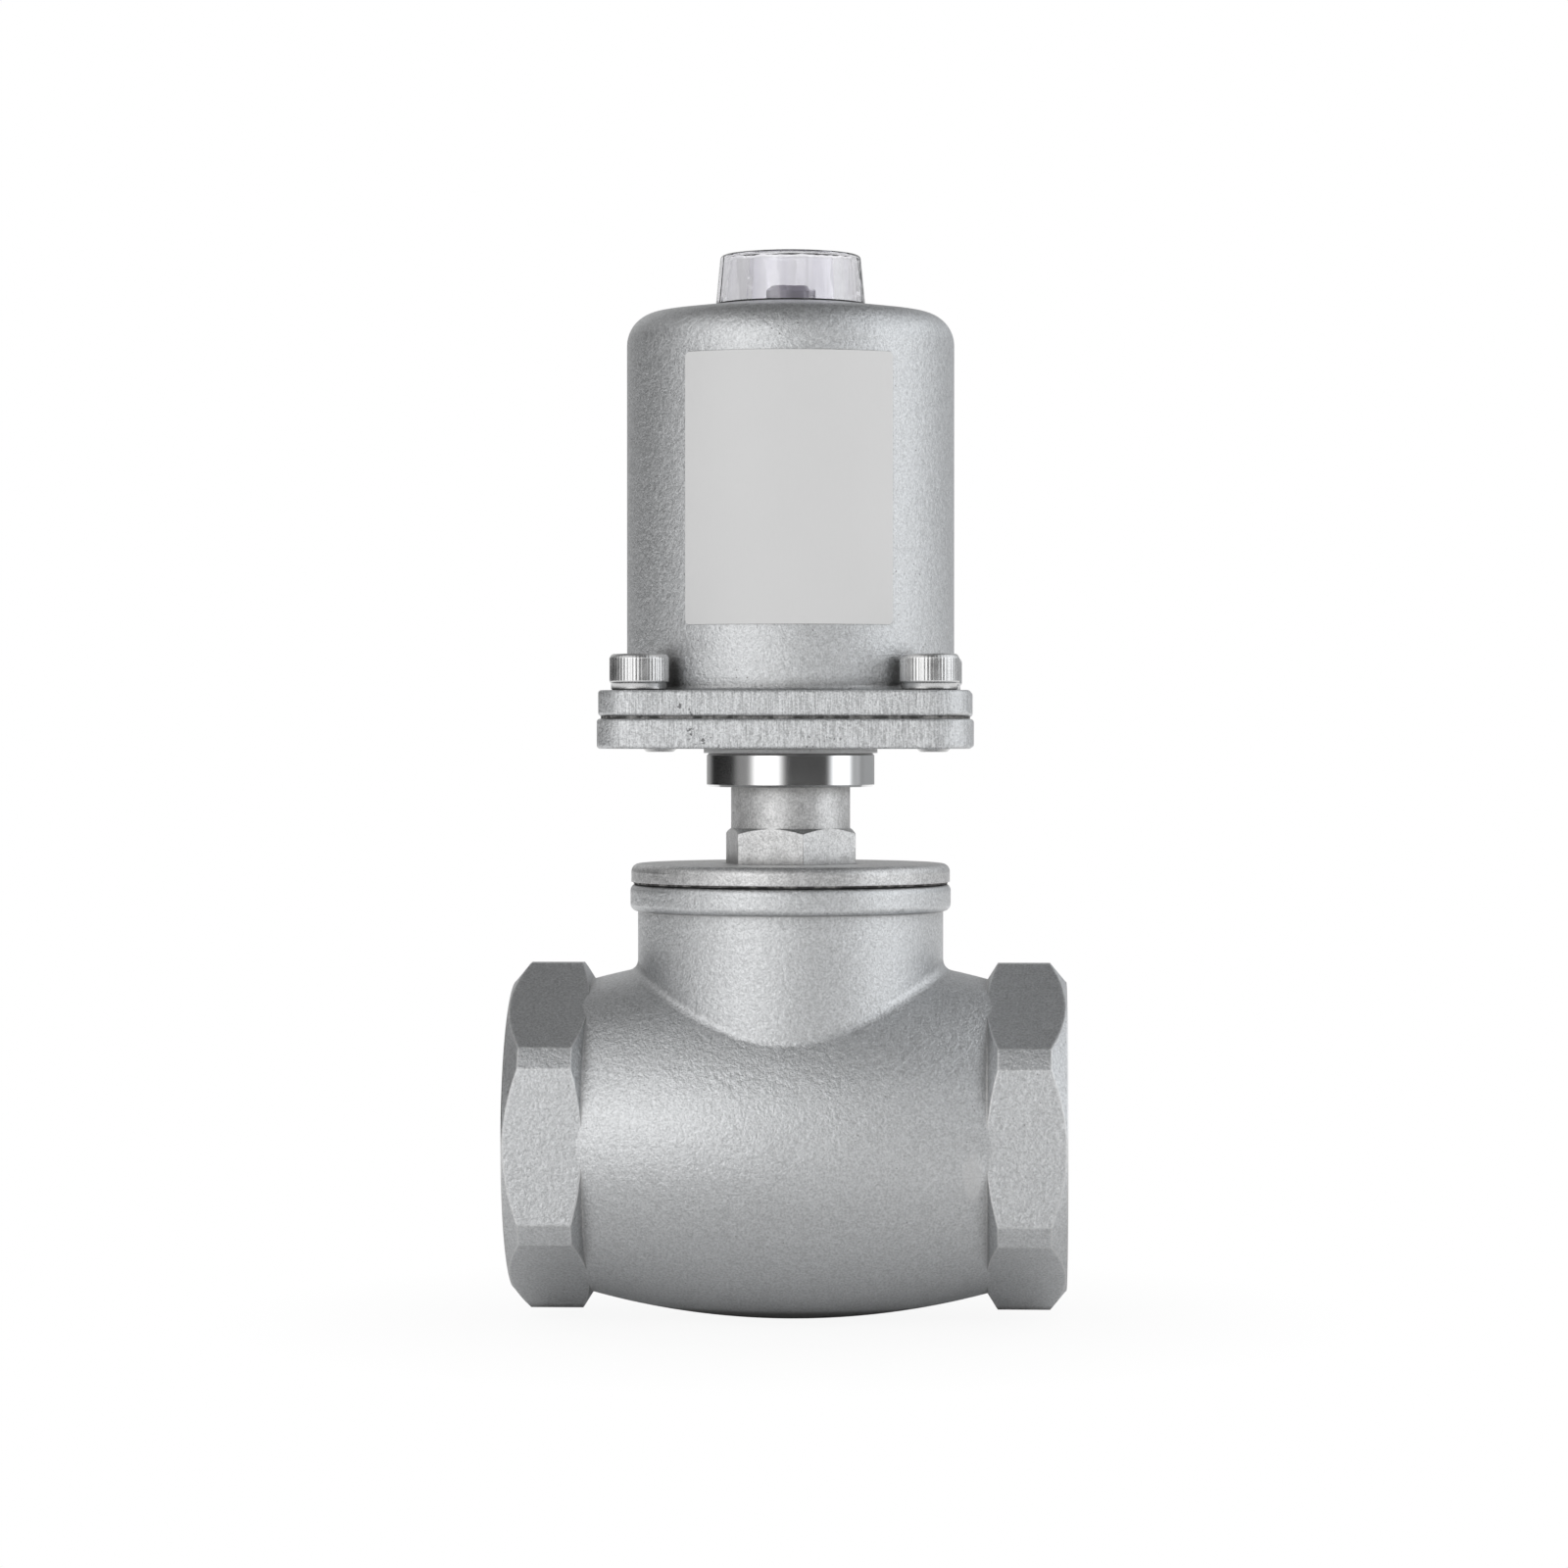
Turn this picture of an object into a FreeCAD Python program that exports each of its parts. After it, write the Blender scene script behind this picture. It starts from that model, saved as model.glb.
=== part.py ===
"""Straight globe-pattern seat valve with a spring-return pneumatic piston actuator.

The valve is built about its stem axis, with the pipe axis at z = 0, and is moved at the end so that
the origin is the centre of the inlet port's mouth. +X is the flow direction and +Z points up the stem.
All sizes are in millimetres. The disc is on its seat and the return spring is at its longest.
"""
import FreeCAD, Part
import math
import os

Vector = FreeCAD.Vector
UP = Vector(0, 0, 1)
ALONG = Vector(1, 0, 0)
REAR = Vector(0, 1, 0)
ORIGIN = Vector(0, 0, 0)

# Clearances shared by everything that fits together
STATIC_GAP = 0.02
THREAD_GAP = 0.05
RUNNING_GAP = 0.05
LOOSE_GAP = 0.3

# Hexagon pipe ends
FACE_TO_FACE = 125.0
PORT_THREAD_RADIUS = 29.8
PORT_THREAD_LENGTH = 24.0
END_WALL = 5.4
END_CORNER_STAND = 4.0
END_HEX_LENGTH = 18.0
END_OUTER_CHAMFER = 3.7
END_INNER_CHAMFER = 2.5
END_FACE_STEP = 0.4

# Seat, disc and neck
ORIFICE_RADIUS = 22.0
STEM_LIFT = 12.5
SEAT_PLATE_TOP = 1.5
SEAT_PLATE_THICKNESS = 5.5
SEAT_LIP_HEIGHT = 2.0
SEAT_LIP_WIDTH = 1.6
SEAT_OVERLAP = 3.0
SEAT_LAND_MARGIN = 2.0
DISC_NECK_GAP = 5.0
WEB_WALL = 4.5

# Barrel, neck and collar of the cast body
BARREL_BULGE = 6.2
BODY_WALL = 5.0
THROAT_STEP = 2.0
NECK_WALL = 4.6
NECK_HEIGHT = 57.2
NECK_FILLET = 2.5
COLLAR_STAND = 1.7
COLLAR_HEIGHT = 6.2
COLLAR_EDGE = 1.6

# Screwed bonnet
BONNET_GASKET_THICKNESS = 0.4
BONNET_GASKET_INSET = 0.7
BONNET_FLANGE_INSET = 0.2
BONNET_FLANGE_HEIGHT = 4.1
BONNET_FLANGE_EDGE = 1.8
BONNET_SKIRT_DEPTH = 17.0
BONNET_SKIRT_WALL = 4.5
BONNET_ROOF = 4.0
BONNET_BOSS_DEPTH = 11.0
BONNET_HEX_HEIGHT = 8.0
BONNET_HEX_TURN = -17.1
BONNET_STUB_HEIGHT = 9.4

# Stem, its guide and its packing
STEM_RADIUS = 5.0
STEM_SHOULDER = 1.0
STEM_END_SHOWING = 1.5
STEM_END_CHAMFER = 0.6
SPIGOT_WALL = 5.0
PACKING_WIDTH = 3.5
PACKING_WALL = 5.0
GUIDE_LENGTH = 7.0
PACKING_SPRING_LENGTH = 8.0
PACKING_SPRING_WIRE = 0.7
PACKING_SPRING_TURNS = 3.5
PACKING_SUPPORT_HEIGHT = 2.5
PACKING_RING_HEIGHT = 2.2
PACKING_RING_COUNT = 4
PACKING_SLOPE = 1.2

# Disc and soft seal
DISC_HEIGHT = 6.0
DISC_EDGE = 1.5
DISC_LIP = 1.5
DISC_HUB_WALL = 4.0
DISC_HUB_HEIGHT = 9.0
DISC_HUB_SLOPE = 4.0
DISC_HUB_EDGE = 1.0
DISC_SEAL_THICKNESS = 4.5
DISC_SEAL_WIDTH = 9.5
RETAINER_GAP = 2.5
RETAINER_THICKNESS = 3.0
RETAINER_EDGE = 1.5
NUT_WALL = 2.5
NUT_HEIGHT = 6.5

# Swivel coupling between the valve and the actuator
COUPLING_RING_RADIUS = 19.0
COUPLING_RING_HEIGHT = 7.6
COUPLING_RING_EDGE = 0.5
THRUST_WASHER_WIDTH = 5.0
THRUST_WASHER_THICKNESS = 1.0
SPIGOT_NUT_WALL = 4.0
SPIGOT_NUT_HEIGHT = 4.6
SEAL_SECTION = 1.8
SEAL_GROOVE_SHARE = 1.3

# Actuator cylinder
CYLINDER_BORE_RADIUS = 34.0
CYLINDER_WALL = 3.05
CYLINDER_LENGTH = 92.9
CYLINDER_ROOF = 6.9
CYLINDER_TOP_EDGE = 7.4
CYLINDER_TOP_SLOPE = 7.5
CYLINDER_TOP_LAND = 0.4
CYLINDER_FOOT_FILLET = 1.0
CYLINDER_INNER_FILLET = 3.0

# Actuator base plate and cylinder flange
BASE_BOSS_STAND = 0.7
BASE_BOSS_HEIGHT = 1.1
BASE_PLATE_THICKNESS = 6.6
BASE_REGISTER_HEIGHT = 1.6
BASE_REGISTER_WIDTH = 5.0
FLANGE_GASKET_THICKNESS = 0.6
FLANGE_GASKET_INSET = 0.9
FLANGE_THICKNESS = 5.7
FLANGE_INSET = 0.3
FLANGE_CORNER_RADIUS = 9.35
FLANGE_EDGE = 0.7

# Socket head cap screws
SCREW_RADIUS = 4.0
SCREW_HEAD_RADIUS = 6.6
SCREW_HEAD_HEIGHT = 8.0
SCREW_HEAD_GAP = 1.6
SCREW_NECK_RADIUS = 6.25
SCREW_NECK_HEIGHT = 1.6
SCREW_HEAD_EDGE = 0.6
SCREW_SOCKET_ACROSS_FLATS = 6.0
SCREW_SOCKET_DEPTH = 4.0
SCREW_REAR_END_SHOWING = 1.0
SCREW_FRONT_END_DEPTH = 0.6
SCREW_CLEARANCE = 0.4

# Air ports at the rear of the cylinder
AIR_THREAD_RADIUS = 4.86
AIR_THREAD_LENGTH = 7.5
AIR_BOSS_WALL = 3.64
AIR_BOSS_STAND = 7.0
AIR_BOSS_EDGE = 0.8
AIR_RIB_STAND = 3.0
AIR_CHANNEL_RADIUS = 1.3
AIR_CHANNEL_INSET = 1.6
PILOT_PORT_HEIGHT = 14.0
VENT_PORT_DEPTH = 18.1

# Piston group
PISTON_FLOOR_GAP = 1.6
PISTON_SIDE_GAP = 0.4
PISTON_HEIGHT = 14.0
PISTON_EDGE = 0.8
PISTON_FOOT_DEPTH = 2.5
PISTON_SEAL_HEIGHT = 4.4
PISTON_SEAL_DEPTH = 4.2
PISTON_SEAL_LIP = 1.4
PISTON_SEAL_HOLLOW = 1.8
PISTON_BAND_HEIGHT = 3.0
PISTON_BAND_DEPTH = 1.6
PISTON_LAND = 2.0
PISTON_HUB_RADIUS = 13.0
PISTON_WELL_DEPTH = 5.0
PISTON_WELL_MARGIN = 1.0
PISTON_WASHER_WIDTH = 4.0
PISTON_WASHER_THICKNESS = 1.6

# Return spring
SPRING_MEAN_RADIUS = 21.0
SPRING_WIRE_RADIUS = 2.2
SPRING_TURNS = 5.5

# Clear indicator cap and indicator
CAP_GASKET_THICKNESS = 0.4
CAP_GASKET_INSET = 0.3
CAP_BASE_RADIUS = 16.9
CAP_TAPER = 0.95
CAP_HEIGHT = 11.0
CAP_DOME = 1.0
CAP_EDGE = 1.0
CAP_ROOF = 2.6
CAP_BORE_RADIUS = 9.5
CAP_SPIGOT_WALL = 2.0
BUSH_WALL = 2.3
BUSH_FLANGE_HEIGHT = 1.2
BUSH_HEIGHT = 10.5
BUSH_EDGE = 1.2
INDICATOR_RADIUS = 3.0
INDICATOR_EDGE = 0.8
INDICATOR_HEADROOM = 0.5

# Radii that follow from the driving sizes
END_ACROSS_FLATS = 2 * (PORT_THREAD_RADIUS + END_WALL)
END_CHAMFER_RADIUS = END_ACROSS_FLATS / 2
END_TURNED_RADIUS = END_CHAMFER_RADIUS + END_CORNER_STAND
THROAT_RADIUS = PORT_THREAD_RADIUS - THROAT_STEP
BARREL_RADIUS = END_CHAMFER_RADIUS + BARREL_BULGE
CAVITY_RADIUS = BARREL_RADIUS - BODY_WALL
DISC_RADIUS = ORIFICE_RADIUS + SEAT_OVERLAP
DISC_SEAL_RADIUS = DISC_RADIUS - DISC_LIP
DISC_SEAL_CORE_RADIUS = DISC_SEAL_RADIUS - DISC_SEAL_WIDTH
RETAINER_RADIUS = ORIFICE_RADIUS - RETAINER_GAP
SEAT_LAND_RADIUS = DISC_RADIUS + SEAT_LAND_MARGIN
NECK_BORE_RADIUS = DISC_RADIUS + DISC_NECK_GAP
NECK_RADIUS = NECK_BORE_RADIUS + NECK_WALL
COLLAR_RADIUS = NECK_RADIUS + COLLAR_STAND
BONNET_GASKET_RADIUS = COLLAR_RADIUS - BONNET_GASKET_INSET
BONNET_FLANGE_RADIUS = COLLAR_RADIUS - BONNET_FLANGE_INSET
STEM_THREAD_RADIUS = STEM_RADIUS - STEM_SHOULDER
STEM_BORE_RADIUS = STEM_RADIUS + RUNNING_GAP
NUT_ACROSS_FLATS = 2 * (STEM_THREAD_RADIUS + NUT_WALL)
PACKING_RADIUS = STEM_RADIUS + PACKING_WIDTH
BONNET_STUB_RADIUS = PACKING_RADIUS + PACKING_WALL
DISC_HUB_RADIUS = STEM_RADIUS + DISC_HUB_WALL
SPIGOT_RADIUS = STEM_RADIUS + SPIGOT_WALL
THRUST_WASHER_RADIUS = SPIGOT_RADIUS + THRUST_WASHER_WIDTH
SPIGOT_NUT_ACROSS_FLATS = 2 * (SPIGOT_RADIUS + SPIGOT_NUT_WALL)
BASE_BOSS_RADIUS = COUPLING_RING_RADIUS + BASE_BOSS_STAND
CYLINDER_RADIUS = CYLINDER_BORE_RADIUS + CYLINDER_WALL
SCREW_CIRCLE_RADIUS = CYLINDER_RADIUS + SCREW_HEAD_RADIUS + SCREW_HEAD_GAP
SCREW_SPACING = math.sqrt(2) * SCREW_CIRCLE_RADIUS
FLANGE_SIDE = SCREW_SPACING + 2 * FLANGE_CORNER_RADIUS
AIR_BOSS_RADIUS = AIR_THREAD_RADIUS + AIR_BOSS_WALL
AIR_BOSS_REACH = CYLINDER_RADIUS + AIR_BOSS_STAND
PISTON_RADIUS = CYLINDER_BORE_RADIUS - PISTON_SIDE_GAP
PISTON_WELL_RADIUS = SPRING_MEAN_RADIUS + SPRING_WIRE_RADIUS + PISTON_WELL_MARGIN
PISTON_WASHER_RADIUS = STEM_THREAD_RADIUS + PISTON_WASHER_WIDTH
CAP_TOP_RADIUS = CAP_BASE_RADIUS - CAP_TAPER
CAP_SPIGOT_RADIUS = CAP_BORE_RADIUS + CAP_SPIGOT_WALL
BUSH_BORE_RADIUS = INDICATOR_RADIUS + 2 * RUNNING_GAP
BUSH_RADIUS = BUSH_BORE_RADIUS + BUSH_WALL

# Levels up the stem axis, each on top of the one before
SEAT_LEVEL = SEAT_PLATE_TOP + SEAT_LIP_HEIGHT
BONNET_SEAT = NECK_HEIGHT + BONNET_GASKET_THICKNESS
BONNET_FLANGE_TOP = BONNET_SEAT + BONNET_FLANGE_HEIGHT
BONNET_HEX_TOP = BONNET_FLANGE_TOP + BONNET_HEX_HEIGHT
COUPLING_SEAT = BONNET_HEX_TOP + BONNET_STUB_HEIGHT
COUPLING_TOP = COUPLING_SEAT + COUPLING_RING_HEIGHT
BASE_BOTTOM = COUPLING_TOP + BASE_BOSS_HEIGHT
BASE_TOP = BASE_BOTTOM + BASE_PLATE_THICKNESS
FLANGE_BOTTOM = BASE_TOP + FLANGE_GASKET_THICKNESS
FLANGE_TOP = FLANGE_BOTTOM + FLANGE_THICKNESS
SPIGOT_NUT_BOTTOM = BASE_TOP + THRUST_WASHER_THICKNESS
SPIGOT_TOP = SPIGOT_NUT_BOTTOM + SPIGOT_NUT_HEIGHT
SPIGOT_SEAL_LEVEL = BASE_BOTTOM + BASE_PLATE_THICKNESS / 2
ROD_SEAL_LEVEL = SPIGOT_TOP - 2 * SEAL_SECTION
PISTON_BOTTOM = SPIGOT_TOP + PISTON_FLOOR_GAP
PISTON_TOP = PISTON_BOTTOM + PISTON_HEIGHT
PISTON_SHOULDER = PISTON_BOTTOM + PISTON_FOOT_DEPTH
PISTON_SEAL_BOTTOM = PISTON_BOTTOM + PISTON_LAND
PISTON_BAND_BOTTOM = PISTON_TOP - PISTON_LAND - PISTON_BAND_HEIGHT
SPRING_SEAT = PISTON_TOP - PISTON_WELL_DEPTH
CYLINDER_TOP = FLANGE_BOTTOM + CYLINDER_LENGTH
CYLINDER_CEILING = CYLINDER_TOP - CYLINDER_ROOF
CAP_SEAT = CYLINDER_TOP + CAP_GASKET_THICKNESS
CAP_TOP = CAP_SEAT + CAP_HEIGHT
CAP_CEILING = CAP_TOP + CAP_DOME - CAP_ROOF
INDICATOR_TOP = CAP_CEILING - INDICATOR_HEADROOM - STEM_LIFT
PISTON_NUT_BOTTOM = PISTON_TOP + PISTON_WASHER_THICKNESS
STEM_TOP = PISTON_NUT_BOTTOM + NUT_HEIGHT + STEM_END_SHOWING
DISC_SEAL_TOP = SEAT_LEVEL + DISC_SEAL_THICKNESS
DISC_BOTTOM = DISC_SEAL_TOP - DISC_LIP
DISC_TOP = DISC_BOTTOM + DISC_HEIGHT
DISC_SHOULDER = DISC_TOP + DISC_HUB_HEIGHT
DISC_NUT_BOTTOM = SEAT_LEVEL - RETAINER_THICKNESS - NUT_HEIGHT
STEM_BOTTOM = DISC_NUT_BOTTOM - STEM_END_SHOWING

# Packing chamber, filled from below and closed by the guide bush
CHAMBER_BOTTOM = BONNET_FLANGE_TOP - BONNET_ROOF - BONNET_BOSS_DEPTH
PACKING_SPRING_BOTTOM = CHAMBER_BOTTOM + GUIDE_LENGTH
LOWER_SUPPORT_BOTTOM = PACKING_SPRING_BOTTOM + PACKING_SPRING_LENGTH
PACKING_BOTTOM = LOWER_SUPPORT_BOTTOM + PACKING_SUPPORT_HEIGHT
UPPER_SUPPORT_BOTTOM = PACKING_BOTTOM + PACKING_RING_COUNT * PACKING_RING_HEIGHT
CHAMBER_TOP = UPPER_SUPPORT_BOTTOM + PACKING_SUPPORT_HEIGHT


def cylinder(radius, low, high):
    """Solid of the given radius about the stem axis, between two levels."""
    return Part.makeCylinder(radius, high - low, Vector(0, 0, low), UP)


def ring(outer, inner, low, high):
    """Plain ring about the stem axis, between two levels."""
    return cylinder(outer, low, high).cut(cylinder(inner, low - 1, high + 1))


def spot(point, axis):
    """Place of a (radius, along) point: radii lie along X for a Z axis and along Z for an X axis."""
    radius, along = point
    if axis == UP:
        return Vector(radius, 0, along)
    return Vector(along, 0, radius)


def lathe(outline, axis=UP):
    """Turned solid from an outline of (radius, along) points joined by straight lines.

    An entry ("arc", through, end) is an arc from the point before it, by way of one point to another.
    """
    edges = []
    first = previous = spot(outline[0], axis)
    for entry in outline[1:]:
        if entry[0] == "arc":
            end = spot(entry[2], axis)
            edges.append(Part.Arc(previous, spot(entry[1], axis), end).toShape())
        else:
            end = spot(entry, axis)
            edges.append(Part.makeLine(previous, end))
        previous = end
    edges.append(Part.makeLine(previous, first))
    return Part.Face(Part.Wire(edges)).revolve(ORIGIN, axis, 360)


def rounded_corner(radius, level, edge):
    """Quarter arc from a turned side to the top face above it, for an upper outer corner."""
    inset = edge * (1 - math.sqrt(0.5))
    return ("arc", (radius - inset, level - inset), (radius - edge, level))


def sloped_shoulder(radius, edge, slope, land, level):
    """Outline points from a turned side, round its shoulder and up a sloping top face to its land.

    The arc touches the side and the slope. Its radius is the edge, and the slope is in degrees.
    """
    tilt = math.radians(slope)
    slope_end = radius - edge + edge * math.sin(tilt)
    slope_low = level - (slope_end - land) * math.tan(tilt)
    centre = slope_low - edge * math.cos(tilt)
    halfway = tilt + (math.pi / 2 - tilt) / 2
    middle = (radius - edge + edge * math.sin(halfway), centre + edge * math.cos(halfway))
    return [(radius, centre), ("arc", middle, (slope_end, slope_low)), (land, level)]


def low_dome(radius, level, rise):
    """Arc from the rim of a top face to its middle, on a sphere centred on the axis."""
    sphere = (radius ** 2 + rise ** 2) / (2 * rise)
    halfway = rise - sphere + math.sqrt(sphere ** 2 - (radius / 2) ** 2)
    return ("arc", (radius / 2, level + halfway), (0, level + rise))


def hexagon(across_flats, low, high, turn=0.0):
    """Hexagonal prism about the stem axis, with one corner turned from +X by the given degrees."""
    corner = across_flats / math.sqrt(3)
    angles = [math.radians(turn + 60 * k) for k in range(7)]
    points = [Vector(corner * math.cos(a), corner * math.sin(a), low) for a in angles]
    return Part.Face(Part.makePolygon(points)).extrude(Vector(0, 0, high - low))


def chamfered_hexagon(across_flats, low, high, turn=0.0, ends=(True, True)):
    """Hexagon with the usual 30 degree turned chamfer at its lower and upper end."""
    flat = across_flats / 2
    corner = across_flats / math.sqrt(3)
    drop = (corner - flat) * math.tan(math.radians(30))
    bottom = [(flat, low), (corner, low + drop)] if ends[0] else [(corner, low)]
    top = [(corner, high - drop), (flat, high)] if ends[1] else [(corner, high)]
    turned = lathe([(0, low)] + bottom + top + [(0, high)])
    return hexagon(across_flats, low, high, turn).common(turned)


def around_axis_at(radius, level):
    """Test for circular edges about the stem axis at a radius and level."""
    def matches(edge):
        curve = edge.Curve
        if not isinstance(curve, Part.Circle):
            return False
        return abs(curve.Radius - radius) < 0.01 and abs(curve.Center.z - level) < 0.01
    return matches


def fillet(shape, radius, matches):
    """Shape with a fillet on every edge that the test picks."""
    return shape.makeFillet(radius, [edge for edge in shape.Edges if matches(edge)])


def o_ring(centre_radius, section, level):
    """Round-section ring about the stem axis."""
    return Part.makeTorus(centre_radius, section / 2, Vector(0, 0, level), UP)


def coil(mean_radius, wire_radius, turns, low, high):
    """Helical spring with closed ends whose wire just touches the two levels."""
    first = low + wire_radius
    last = high - wire_radius
    pitch = (last - first) / turns
    path = Part.makeHelix(pitch, last - first, mean_radius)
    path.translate(Vector(0, 0, first))
    section = Part.Wire(Part.makeCircle(wire_radius, Vector(mean_radius, 0, first), REAR))
    return path.makePipeShell([section], True, True)


def end_hexagon(side):
    """Hexagon pipe end on one side (-1 inlet, +1 outlet), flats to the front and rear, corners turned."""
    outer = FACE_TO_FACE / 2
    inner = outer - END_HEX_LENGTH
    prism = hexagon(END_ACROSS_FLATS, inner, outer, 0)
    prism.rotate(ORIGIN, REAR, 90)
    turned = lathe([
        (0, inner),
        (END_CHAMFER_RADIUS, inner),
        (END_TURNED_RADIUS, inner + END_INNER_CHAMFER),
        (END_TURNED_RADIUS, outer - END_OUTER_CHAMFER),
        (END_CHAMFER_RADIUS, outer - END_FACE_STEP),
        (END_CHAMFER_RADIUS - END_FACE_STEP, outer),
        (0, outer),
    ], ALONG)
    end = prism.common(turned)
    if side < 0:
        end = end.mirror(ORIGIN, ALONG)
    return end


def bulged_bar(half_length, end_radius, middle_radius):
    """Turned bar along the pipe axis whose side is one arc, widest in the middle."""
    return lathe([
        (0, -half_length),
        (end_radius, -half_length),
        ("arc", (middle_radius, 0), (end_radius, half_length)),
        (0, half_length),
    ], ALONG)


def point_across(pair):
    """The point opposite a place in the stem plane, through the middle of the seat plate."""
    x, z = pair
    return (-x, 2 * SEAT_PLATE_TOP - SEAT_PLATE_THICKNESS - z)


def stem_plane_edge(*places):
    """Line or, with a third place in the middle, arc between places in the stem plane."""
    points = [Vector(x, 0, z) for x, z in places]
    if len(points) == 3:
        return Part.Arc(*points).toShape()
    return Part.makeLine(*points)


def seat_web():
    """S-shaped wall across the body: roof behind the inlet, seat plate, floor before the outlet.

    Its outline is the same twice, turned half round the middle of the seat plate. The half on the
    inlet side is an upper face, which faces the outlet, and a lower face, which faces the inlet.
    """
    top = SEAT_PLATE_TOP
    bottom = top - SEAT_PLATE_THICKNESS
    land = SEAT_LAND_RADIUS
    port_end = FACE_TO_FACE / 2 - PORT_THREAD_LENGTH
    rooted = THROAT_RADIUS + 0.7 * BODY_WALL
    upper = [
        (WEB_WALL - port_end, rooted + 1.5),
        (-land - 3.6, top + 0.4 * rooted),
        (-land - 0.6, top + 2.0),
        (-land + 0.2, top + 0.6),
        (-land + 1.6, top),
    ]
    lower = [
        (-land - 2.6, bottom),
        (-land - 3.9, bottom + 1.0),
        (-land - 4.6, bottom + 3.0),
        (-land - 3.2 - WEB_WALL, bottom + 0.5 * rooted),
        (-port_end, rooted),
    ]
    edges = []
    turned = ([point_across(place) for place in face] for face in (upper, lower))
    for first, second in ((upper, lower), tuple(turned)):
        opposite = point_across(second[0])
        edges += [
            stem_plane_edge(*first[0:3]),
            stem_plane_edge(*first[2:5]),
            stem_plane_edge(first[4], opposite),
            stem_plane_edge(*second[0:3]),
            stem_plane_edge(*second[2:5]),
            stem_plane_edge(second[4], first[0]),
        ]
    face = Part.Face(Part.Wire(Part.sortEdges(edges)[0]))
    face.translate(Vector(0, -BARREL_RADIUS, 0))
    return face.extrude(Vector(0, 2 * BARREL_RADIUS, 0))


def valve_body():
    """Cast globe body: barrel, neck with collar, hexagon ends, seat web, threaded ports."""
    half = FACE_TO_FACE / 2
    barrel_half = half - END_HEX_LENGTH + END_INNER_CHAMFER / 2
    barrel = bulged_bar(barrel_half, END_CHAMFER_RADIUS - STATIC_GAP, BARREL_RADIUS)
    collar_bottom = NECK_HEIGHT - COLLAR_HEIGHT
    neck = cylinder(NECK_RADIUS, 0, NECK_HEIGHT)
    outside = barrel.fuse(neck)

    def meets_neck(edge):
        middle = edge.valueAt((edge.FirstParameter + edge.LastParameter) / 2)
        on_neck = abs(math.hypot(middle.x, middle.y) - NECK_RADIUS) < 0.01
        return on_neck and 1 < middle.z < collar_bottom and not isinstance(edge.Curve, Part.Line)

    outside = fillet(outside, NECK_FILLET, meets_neck)
    collar = cylinder(COLLAR_RADIUS, collar_bottom, NECK_HEIGHT)
    collar = fillet(collar, COLLAR_EDGE, lambda edge: isinstance(edge.Curve, Part.Circle))
    outside = outside.fuse([collar, end_hexagon(-1), end_hexagon(1)])

    port_end = half - PORT_THREAD_LENGTH
    cavity = bulged_bar(port_end, THROAT_RADIUS, CAVITY_RADIUS)
    hollow = cavity.fuse(cylinder(NECK_BORE_RADIUS, 0, NECK_HEIGHT + 1))
    web = seat_web().common(outside)
    lip = ring(ORIFICE_RADIUS + SEAT_LIP_WIDTH, ORIFICE_RADIUS - 1, SEAT_PLATE_TOP - 1, SEAT_LEVEL)
    body = outside.cut(hollow).fuse([web, lip])

    cuts = [cylinder(ORIFICE_RADIUS, -SEAT_PLATE_THICKNESS, SEAT_LEVEL + 1)]
    for side in (-1, 1):
        start = Vector(side * port_end, 0, 0)
        cuts.append(Part.makeCylinder(PORT_THREAD_RADIUS, PORT_THREAD_LENGTH + 1, start, side * ALONG))
    return body.cut(cuts)


def bonnet_gasket():
    """Flat ring between the body's collar and the bonnet flange."""
    return ring(BONNET_GASKET_RADIUS, NECK_BORE_RADIUS + LOOSE_GAP, NECK_HEIGHT, BONNET_SEAT)


def bonnet():
    """Screwed bonnet: skirt in the neck, flange, spanner hexagon, stub and threaded spigot."""
    skirt_radius = NECK_BORE_RADIUS - THREAD_GAP
    skirt_bottom = BONNET_SEAT - BONNET_SKIRT_DEPTH
    flange = cylinder(BONNET_FLANGE_RADIUS, BONNET_SEAT, BONNET_FLANGE_TOP)
    flange = fillet(flange, BONNET_FLANGE_EDGE, around_axis_at(BONNET_FLANGE_RADIUS, BONNET_FLANGE_TOP))
    skirt = cylinder(skirt_radius, skirt_bottom, BONNET_SEAT)
    under = ring(
        skirt_radius - BONNET_SKIRT_WALL,
        BONNET_STUB_RADIUS,
        skirt_bottom - 1,
        BONNET_FLANGE_TOP - BONNET_ROOF,
    )
    below_boss = cylinder(skirt_radius - BONNET_SKIRT_WALL, skirt_bottom - 1, CHAMBER_BOTTOM)
    hexagon_part = chamfered_hexagon(
        2 * BONNET_STUB_RADIUS, BONNET_FLANGE_TOP, BONNET_HEX_TOP, BONNET_HEX_TURN, (False, True)
    )
    stub = cylinder(BONNET_STUB_RADIUS, BONNET_HEX_TOP - 1, COUPLING_SEAT)
    spigot = cylinder(SPIGOT_RADIUS, COUPLING_SEAT, SPIGOT_TOP)
    body = flange.fuse([skirt, hexagon_part, stub, spigot])
    stem_hole = cylinder(STEM_BORE_RADIUS, CHAMBER_BOTTOM - 1, SPIGOT_TOP + 1)
    chamber = cylinder(PACKING_RADIUS, CHAMBER_BOTTOM - 1, CHAMBER_TOP)
    half_groove = SEAL_GROOVE_SHARE * SEAL_SECTION / 2
    seal_groove = ring(
        SPIGOT_RADIUS + 1,
        SPIGOT_RADIUS - SEAL_SECTION,
        SPIGOT_SEAL_LEVEL - half_groove,
        SPIGOT_SEAL_LEVEL + half_groove,
    )
    rod_groove = cylinder(
        STEM_BORE_RADIUS + SEAL_SECTION, ROD_SEAL_LEVEL - half_groove, ROD_SEAL_LEVEL + half_groove
    )
    return body.cut([under, below_boss, stem_hole, chamber, seal_groove, rod_groove])


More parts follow.
